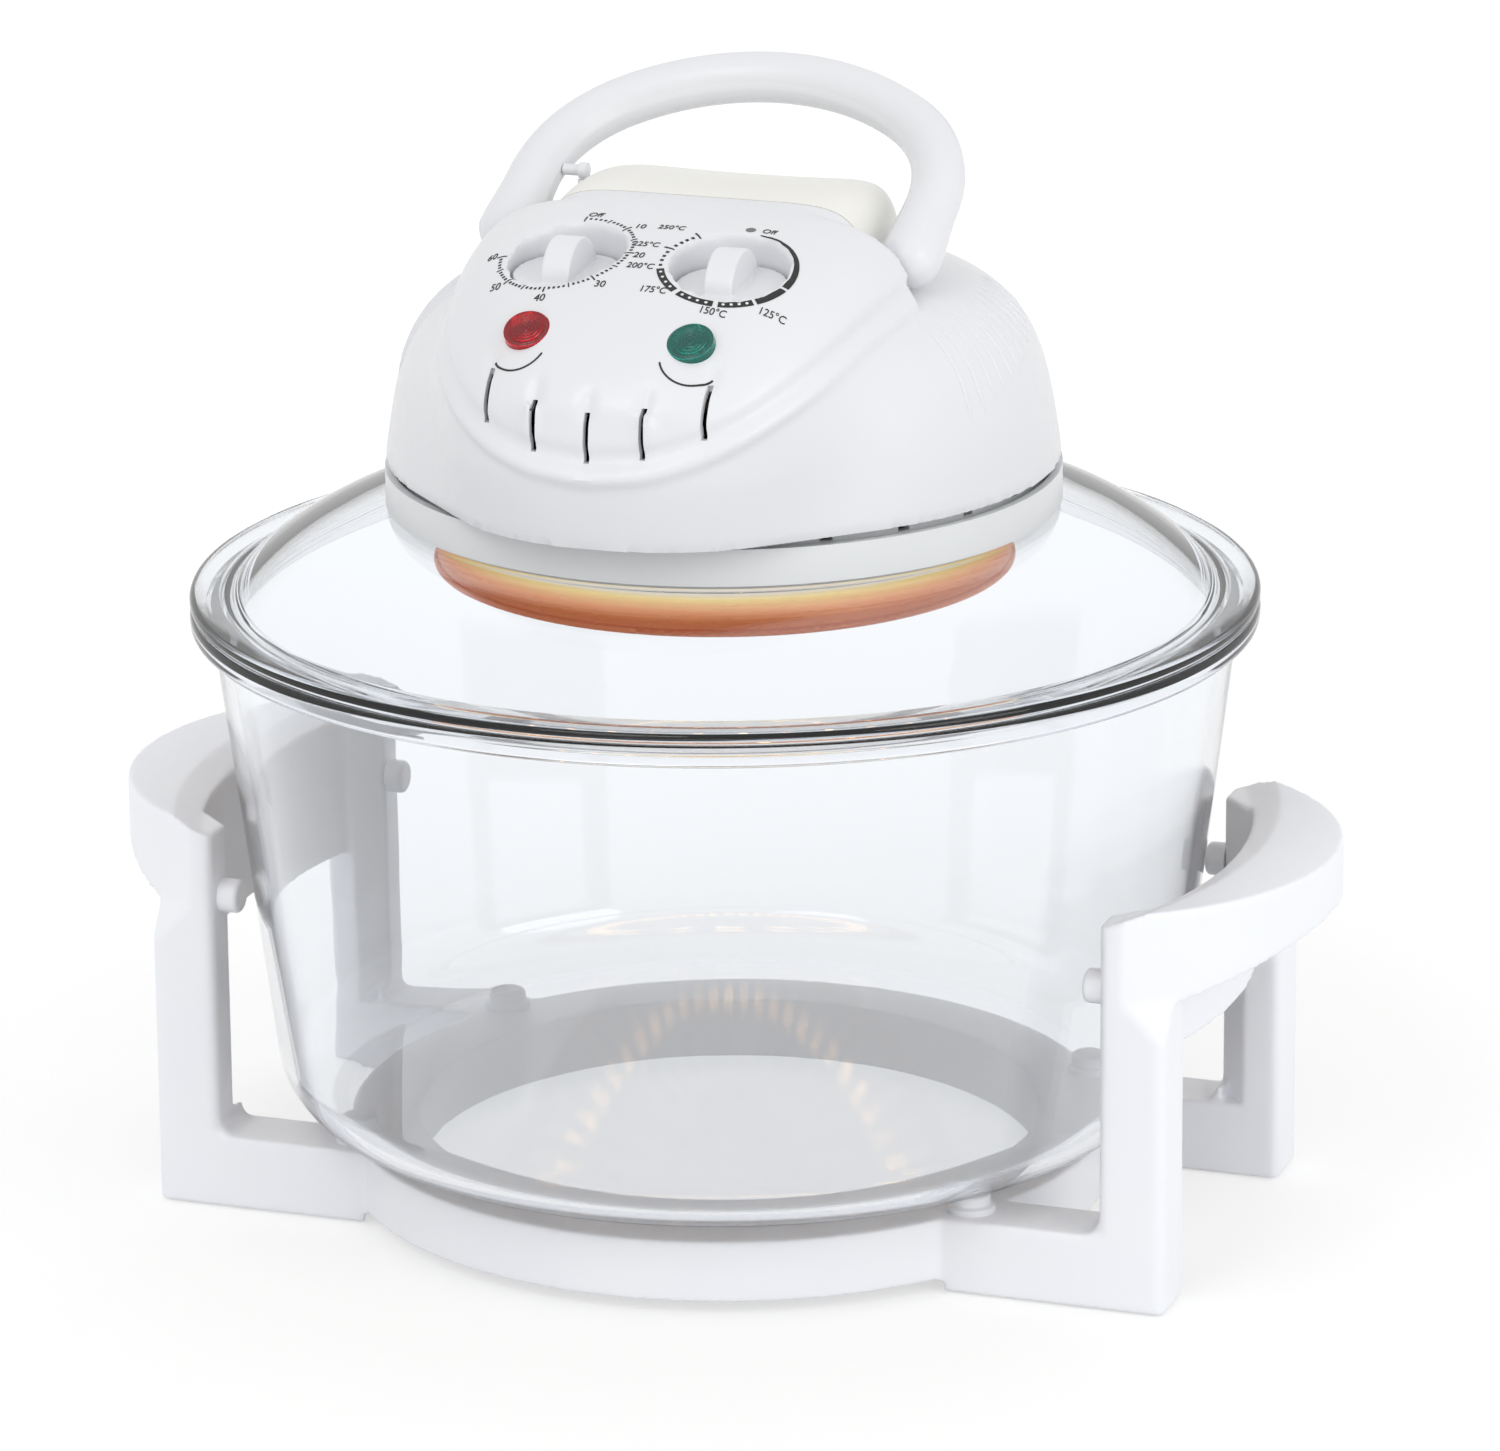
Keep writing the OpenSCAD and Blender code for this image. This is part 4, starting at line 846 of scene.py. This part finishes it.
def carryHandle():
    look = handleLook
    line = handlePath()
    section = []
    for k in range(48):
        a = 2 * math.pi * k / 48
        # the back half shell is a little slimmer, so a step runs along both sides
        front = math.sin(a) > -0.28
        size = 1.0 if front else 0.935
        section.append((size * math.cos(a), size * math.sin(a), 0))
    outline = bpy.data.meshes.new("handleSection")
    outline.from_pydata(section, [(k, (k + 1) % 48) for k in range(48)], [])
    source = newObject("handleSection", outline)
    path = pointMesh("carryHandle", [(x, y, 0) for x, y, r in line],
                     edges=[(i, i + 1) for i in range(len(line) - 1)], thick=[r * mm for x, y, r in line])
    piece = grown("carryHandle", path, swept, {"Section": source, "Finish": finish["glossyWhiteAbs"]})
    bpy.data.objects.remove(source)
    hinge = Matrix.Translation((0, look["hingeY"] * mm, look["hingeZ"] * mm))
    shape = bmesh.new()
    shape.from_mesh(piece.data)
    bmesh.ops.remove_doubles(shape, verts=shape.verts, dist=0.001 * mm)
    bmesh.ops.recalc_face_normals(shape, faces=shape.faces)
    bmesh.ops.transform(shape, matrix=hinge @ turnedBy(look["lean"], "X"), verts=shape.verts)
    shape.to_mesh(piece.data)
    shape.free()
    piece.data.shade_smooth()
    cutAway(piece, [drumTool(3.06, -69, 69, hinge @ turnedBy(90, "Y"))])
    return creased(piece, 40)


handle = carryHandle()
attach(handle, "handle")
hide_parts("carry_handle")
print("stage: handle done")


# controls

knobLook = {"voxel": 0.42, "passes": 5}


def dialKnob(node):
    # low disc with a raised grip across it
    shape = bmesh.new()
    shape.from_mesh(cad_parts[node].data)
    bmesh.ops.remove_doubles(shape, verts=shape.verts, dist=0.004 * mm)
    name = node.replace("_k", "K")
    piece = newObject(name, meshFrom(shape, name, finish["glossyWhiteAbs"]))
    settled(evened(piece, knobLook["voxel"], knobLook["passes"]))
    piece.data.shade_smooth()
    return piece


for name, body in (("timer_knob", "timer_dial"), ("temperature_knob", "temperature_dial")):
    knob = dialKnob(name)
    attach(knob, body)
    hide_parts(name)


def signalLens(name, side, material):
    # moulded lens: flange, shallow dome and rings that break up the lamp's light
    r = lensLook["r"]
    profile = [(0, -6), (r - 0.1, -6), (r, -5.9), (r, 0.2)] + arc((r - 0.5, 0.5), 0.5, 0, 80, 4)
    for ring in (5.7, 4.7, 3.7, 2.7, 1.7):
        rise = 1.7 - 0.03 * ring * ring
        profile += [(ring, rise), (ring - 0.25, rise + 0.12), (ring - 0.55, rise + 0.12), (ring - 0.8, rise)]
    profile += [(0.6, 1.7), (0, 1.8)]
    return turnedPiece(name, profile, material, steps=96, closed=True, place=lensPlaces[side])


for name, side, material, node, slot in (("powerLens", -1, "redAcrylic", "power_lens", "red_lens"),
                                         ("heatLens", 1, "greenAcrylic", "heat_lens", "green_lens")):
    lens = signalLens(name, side, finish[material])
    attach(lens, "lid")
    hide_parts(node)


# print on the panel: marks and numbers lie on the skin, a sixth of a millimetre proud

def laidOnSkin(points, place):
    laid = []
    down = (place.to_3x3() @ Vector((0, 0, -1))).normalized()
    for x, y in points:
        start = place @ Vector((x * mm, y * mm, 12 * mm))
        spot, normal, index, distance = skinTree.ray_cast(start, down)
        laid.append(((spot if spot else place @ Vector((x * mm, y * mm, 0))) - down * 0.16 * mm) / mm)
    return laid


class Print:
    # collects flat shapes and lays them down as one thin closed piece
    def __init__(self):
        self.points, self.faces = [], []

    def strip(self, place, radius, start, end, inner, outer, centre=(0, 0)):
        # a band along a circle: inner and outer give its width at each end
        count, wide = max(2, int(abs(end - start) / 2) + 1), 4
        first, spots = len(self.points), []
        for i in range(count):
            t = i / (count - 1)
            a = math.radians(start + (end - start) * t)
            lowR = radius + inner[0] + (inner[1] - inner[0]) * t
            highR = radius + outer[0] + (outer[1] - outer[0]) * t
            for k in range(wide):
                r = lowR + (highR - lowR) * k / (wide - 1)
                spots.append((centre[0] + r * math.cos(a), centre[1] + r * math.sin(a)))
        self.points += laidOnSkin(spots, place)
        for i in range(count - 1):
            for k in range(first + i * wide, first + (i + 1) * wide - 1):
                self.faces.append((k, k + 1, k + wide + 1, k + wide))

    def dot(self, place, radius, angle, size, centre=(0, 0)):
        a = math.radians(angle)
        x, y = centre[0] + radius * math.cos(a), centre[1] + radius * math.sin(a)
        ring = [(x + size * math.cos(math.radians(b)), y + size * math.sin(math.radians(b)))
                for b in range(0, 360, 45)]
        start = len(self.points)
        self.points += laidOnSkin(ring, place)
        self.faces.append(list(range(start, start + 8)))

    def text(self, words, place, x, y, size, narrow):
        font = bpy.data.curves.new("figures", "FONT")
        font.body, font.size, font.align_x, font.align_y = words, size, "CENTER", "CENTER"
        holder = newObject("figures", font)
        graph = bpy.context.evaluated_depsgraph_get()
        mesh = bpy.data.meshes.new_from_object(holder.evaluated_get(graph), depsgraph=graph)
        start = len(self.points)
        self.points += laidOnSkin([(v.co.x * narrow + x, v.co.y + y) for v in mesh.vertices], place)
        self.faces += [[start + k for k in p.vertices] for p in mesh.polygons]
        bpy.data.objects.remove(holder)

    def piece(self, name, material):
        mesh = bpy.data.meshes.new(name)
        mesh.from_pydata([list(p * mm) for p in self.points], [], self.faces)
        shape = bmesh.new()
        shape.from_mesh(mesh)
        bmesh.ops.remove_doubles(shape, verts=shape.verts, dist=0.003 * mm)
        for face in shape.faces:
            if face.normal.z < 0:
                face.normal_flip()
        shape.to_mesh(mesh)
        shape.free()
        mesh.materials.append(material)
        made = newObject(name, mesh)
        thick = made.modifiers.new("ink", "SOLIDIFY")
        thick.thickness, thick.offset = 0.12 * mm, -1
        return settled(made)


def leaningPlace(centre, normal):
    out = Vector(normal).normalized()
    side = (Vector((1, 0, 0)) - out * out.x).normalized()
    turn = Matrix((side, out.cross(side), out)).transposed()
    return Matrix.Translation(Vector(centre) * mm) @ turn.to_4x4()


timePrint = {"place": leaningPlace((-26.0, -64.3, 313.1), (-0.12, -0.28, 0.95)), "radius": 20.5, "tick": 1.6,
             "angles": (93, 46.3, -2, -47.5, -89.6, -131.5, -176), "figures": 4.3, "narrow": 0.82,
             "labels": (("10", 17.7, 17.0), ("20", 24.0, -1.8), ("30", 17.2, -18.2), ("40", 0, -24.8),
                        ("50", -17.2, -17.2), ("60", -24.2, -0.3), ("Off", 0.9, 23.9))}
heatPrint = {"place": leaningPlace((25.25, -65.2, 313.3), (0.09, -0.31, 0.95)), "centre": (0.4, -0.5),
             "radius": 20.2, "band": 2.3, "figures": 4.1, "narrow": 0.8,
             "bands": ((-19, -48), (-51, -80.5), (-85, -119), (-124, -160)),
             "labels": (("250°C", -23.8, 18.6), ("225°C", -27.6, 6.0), ("200°C", -25.0, -6.8),
                        ("175°C", -17.2, -18.2), ("150°C", 3.2, -23.9), ("125°C", 19.8, -18.4),
                         ("Off", 5.8, 21.9))}
smilePrint = {-1: ((-0.6, -5.4), -150, -21), 1: ((0.9, -5.6), -160, -28)}


def panelPrint():
    ink = Print()
    place, look = timePrint["place"], timePrint
    for minute in range(61):
        angle = float(np.interp(minute / 10, range(7), look["angles"]))
        half, wide = (look["tick"], 0.6) if minute % 10 == 0 else (1.1, 0.5) if minute % 5 == 0 else (0.5, 0.95)
        ink.strip(place, look["radius"], angle - wide, angle + wide, (-half, -half), (half, half))
    for words, x, y in look["labels"]:
        ink.text(words, place, x, y, look["figures"], look["narrow"])
    place, look = heatPrint["place"], heatPrint
    half, centre = look["band"] / 2, look["centre"]
    # a thin line grows from Off into a broad band on the right
    ink.strip(place, look["radius"], 80, -16, (-0.15, -half), (0.15, half), centre)
    for start, end in look["bands"]:
        ink.strip(place, look["radius"], start, end, (-half, -half), (half, half), centre)
    for angle in (-166, -174, -181, -188, -201, -208, -214, -220):
        ink.strip(place, look["radius"], angle - 1.4, angle + 1.4, (-0.5, -0.5), (0.5, 0.5), centre)
    for angle in (-194.5, -226):
        ink.strip(place, look["radius"], angle - 0.8, angle + 0.8, (-1.0, -1.0), (2.4, 2.4), centre)
    for words, x, y in look["labels"]:
        ink.text(words, place, x, y, look["figures"], look["narrow"])
    for side, (centre, start, end) in smilePrint.items():
        ink.strip(lensPlaces[side], 8.6, start, end, (-0.28, -0.28), (0.28, 0.28), centre)
    return ink.piece("panelFigures", finish["blackInk"])


def bandDots():
    # white dots stand in the dark temperature band
    dots, look = Print(), heatPrint
    for start, end in look["bands"][1:]:
        for k in range(4):
            angle = start + (end - start) * (k + 0.75) / 4.4
            dots.dot(look["place"], look["radius"], angle, 0.5, look["centre"])
    piece = dots.piece("bandDots", finish["glossyWhiteAbs"])
    piece.data.transform(Matrix.Translation(look["place"].to_3x3() @ Vector((0, 0, 0.06 * mm))))
    return piece


def offDot():
    mark = Print()
    mark.dot(heatPrint["place"], 21.8, 90, 1.6)
    return mark.piece("offDot", finish["greyInk"])


for piece in (panelPrint(), bandDots(), offDot()):
    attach(piece, "lid")
print("stage: print done")


# fine ribs on both sides of the head, laid on the skin

ribLook = {"count": 13, "thick": 0.85, "points": 18}


def sideRibs():
    look = ribLook
    points, edges, thick = [], [], []
    for side in (-1, 1):
        for k in range(look["count"]):
            t = k / (look["count"] - 1)
            # from front to rear: the ribs get shorter, and start higher
            turn = 68 + 46 * t
            highZ = 292.5 - 1.0 * t
            lowZ = 262 + 19 * t
            start = len(points)
            for i in range(look["points"]):
                z = highZ + (lowZ - highZ) * i / (look["points"] - 1)
                a = math.radians(turn)
                out = Vector((side * math.sin(a), -math.cos(a), 0.0))
                origin = Vector((0, 0, z * mm)) + out * 0.2
                spot, normal, index, distance = skinTree.ray_cast(origin, -out)
                points.append(tuple((spot - normal * 0.25 * mm) / mm))
                fade = min(1, (i + 0.3) / 2.5, (look["points"] - 0.7 - i) / 3.5)
                thick.append(look["thick"] * mm * max(0.25, fade))
            edges += [(start + i, start + i + 1) for i in range(look["points"] - 1)]
    outline = bpy.data.meshes.new("ribSection")
    outline.from_pydata([(math.cos(a), math.sin(a), 0) for a in np.linspace(0, 2 * math.pi, 11)[:-1]],
                        [(k, (k + 1) % 10) for k in range(10)], [])
    source = newObject("ribSection", outline)
    path = pointMesh("sideRibs", points, edges=edges, thick=thick)
    piece = grown("sideRibs", path, swept, {"Section": source, "Finish": finish["glossyWhiteAbs"]})
    bpy.data.objects.remove(source)
    shape = bmesh.new()
    shape.from_mesh(piece.data)
    bmesh.ops.recalc_face_normals(shape, faces=shape.faces)
    shape.to_mesh(piece.data)
    shape.free()
    piece.data.shade_smooth()
    return piece


ribs = sideRibs()
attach(ribs, "lid")
print("stage: ribs done")


# the CAD pieces that stay as they are get their finishes

kept = {
    "foot_pads": "greyRubber", "stand_screws": "zincPlatedSteel", "lid_gasket": "milkySilicone",
    "lower_housing": "ringGreyAbs", "timer_unit": "blackPhenolic",
    "thermostat_unit": "tanPhenolic", "indicator_lamps": "clearGlassBulb", "safety_peg": "glossyWhiteAbs",
    "handle_rod": "zincPlatedSteel", "rod_brackets": "zincPlatedSteel", "microswitch": "blackPhenolic",
    "switch_plunger": "coolWhiteAbs", "reflector_pan": "hotPanSteel", "lamp_guard": "brightRolledSteel",
    "halogen_tube": "litQuartz", "tube_holders": "steatite", "sensor_bulb": "drawnCopper",
    "motor_bracket": "zincPlatedSteel", "motor_can": "motorEnamel", "motor_shaft": "zincPlatedSteel",
    "convection_fan": "pressedAluminium", "cooling_fan": "pressedAluminium", "housing_screws": "zincPlatedSteel",
    "pan_screws": "zincPlatedSteel", "cord_gland": "greyRubber",
}
for node, material in kept.items():
    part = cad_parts[node]
    part.data.materials.clear()
    part.data.materials.append(finish[material])
print("stage: kept nodes dressed")


# floor, light and camera

stageLook = {"nearWhite": 0.50, "farWhite": 0.80, "glow": 1.16, "ambient": 0.86, "size": 6.0}


def seenDirectly(tree):
    # 1 where the camera, a reflection or the glass looks at it, and 0 where it only lights the oven
    path = addNode(tree, "ShaderNodeLightPath")
    seen = addNode(tree, "ShaderNodeMath", {0: path.outputs["Is Camera Ray"], 1: path.outputs["Is Glossy Ray"]},
                   operation="MAXIMUM")
    through = addNode(tree, "ShaderNodeMath", {0: seen.outputs[0], 1: path.outputs["Is Transmission Ray"]},
                      operation="MAXIMUM")
    return through.outputs[0]


def studioFloor():
    mesh = bpy.data.meshes.new("studioFloor")
    s = stageLook["size"]
    mesh.from_pydata([(-s, -s, 0), (s, -s, 0), (s, s, 0), (-s, s, 0)], [], [(0, 1, 2, 3)])
    floor = newObject("studioFloor", mesh)
    material = bpy.data.materials.new("paperFloor")
    material.use_nodes = True
    tree = material.node_tree
    shader = tree.nodes["Principled BSDF"]
    shader.inputs["Base Color"].default_value = hexLinear("#F4F4F4")
    shader.inputs["Roughness"].default_value = 0.9
    shader.inputs["Specular IOR Level"].default_value = 0.0
    # near the oven the paper takes its shadow, further off it runs into white
    spot = addNode(tree, "ShaderNodeTexCoord", {})
    reach = addNode(tree, "ShaderNodeVectorMath", {0: spot.outputs["Object"]}, operation="LENGTH")
    white = addNode(tree, "ShaderNodeMapRange", {
        "Value": reach.outputs["Value"], "From Min": 0.25, "From Max": 0.9,
        "To Min": stageLook["nearWhite"], "To Max": stageLook["farWhite"]})
    share = addNode(tree, "ShaderNodeMath", {0: seenDirectly(tree), 1: white.outputs["Result"]},
                    operation="MULTIPLY")
    glow = addNode(tree, "ShaderNodeEmission", {"Color": (1, 1, 1, 1), "Strength": stageLook["glow"]})
    mix = addNode(tree, "ShaderNodeMixShader", {"Fac": share.outputs[0], 1: shader.outputs["BSDF"],
                                                2: glow.outputs["Emission"]})
    tree.links.new(mix.outputs["Shader"], tree.nodes["Material Output"].inputs["Surface"])
    mesh.materials.append(material)
    return floor


studioFloor()

world = bpy.data.worlds.new("studio")
scene.world = world
world.use_nodes = True
sky = world.node_tree
background = sky.nodes["Background"]
background.inputs["Color"].default_value = (1, 1, 1, 1)
level = addNode(sky, "ShaderNodeMapRange", {"Value": seenDirectly(sky), "To Min": stageLook["ambient"],
                                            "To Max": 1.0})
sky.links.new(level.outputs["Result"], background.inputs["Strength"])


def softbox(name, place, target, size, power):
    lamp = bpy.data.lights.new(name, "AREA")
    lamp.shape, lamp.size, lamp.energy = "DISK", size, power
    holder = bpy.data.objects.new(name, lamp)
    scene.collection.objects.link(holder)
    holder.location = place
    holder.rotation_euler = (Vector(target) - Vector(place)).to_track_quat("-Z", "Y").to_euler()
    return holder


softbox("keyLight", (-0.3, -2.2, 2.2), (0, 0, 0.15), 1.5, 13)
softbox("fillLight", (2.3, -0.9, 1.1), (0, 0, 0.15), 1.6, 12)

cameraLook = {"azimuth": 19.599, "elevation": 16.947, "roll": -0.5028, "distance": 2464.04, "focalPx": 7952.03,
              "target": (7.742, 0.0, 150.607)}


def photoCamera():
    look = cameraLook
    az, el, roll = (math.radians(look[key]) for key in ("azimuth", "elevation", "roll"))
    right = Vector((math.cos(az), math.sin(az), 0))
    back = Vector((math.sin(az) * math.cos(el), -math.cos(az) * math.cos(el), math.sin(el)))
    up = back.cross(right)
    sideways = math.cos(roll) * right + math.sin(roll) * up
    upwards = -math.sin(roll) * right + math.cos(roll) * up
    lens = bpy.data.cameras.new("photoCamera")
    lens.sensor_width, lens.sensor_fit = 36, "HORIZONTAL"
    lens.lens = look["focalPx"] * 36 / 1500
    lens.clip_start, lens.clip_end = 0.05, 50
    camera = bpy.data.objects.new("photoCamera", lens)
    scene.collection.objects.link(camera)
    spot = (Vector(look["target"]) + look["distance"] * back) * mm
    turn = Matrix((sideways, upwards, back)).transposed()
    camera.matrix_world = Matrix.Translation(spot) @ turn.to_4x4()
    return camera


scene.camera = photoCamera()
scene.view_settings.view_transform = "Standard"
print("stage: floor, light and camera done")
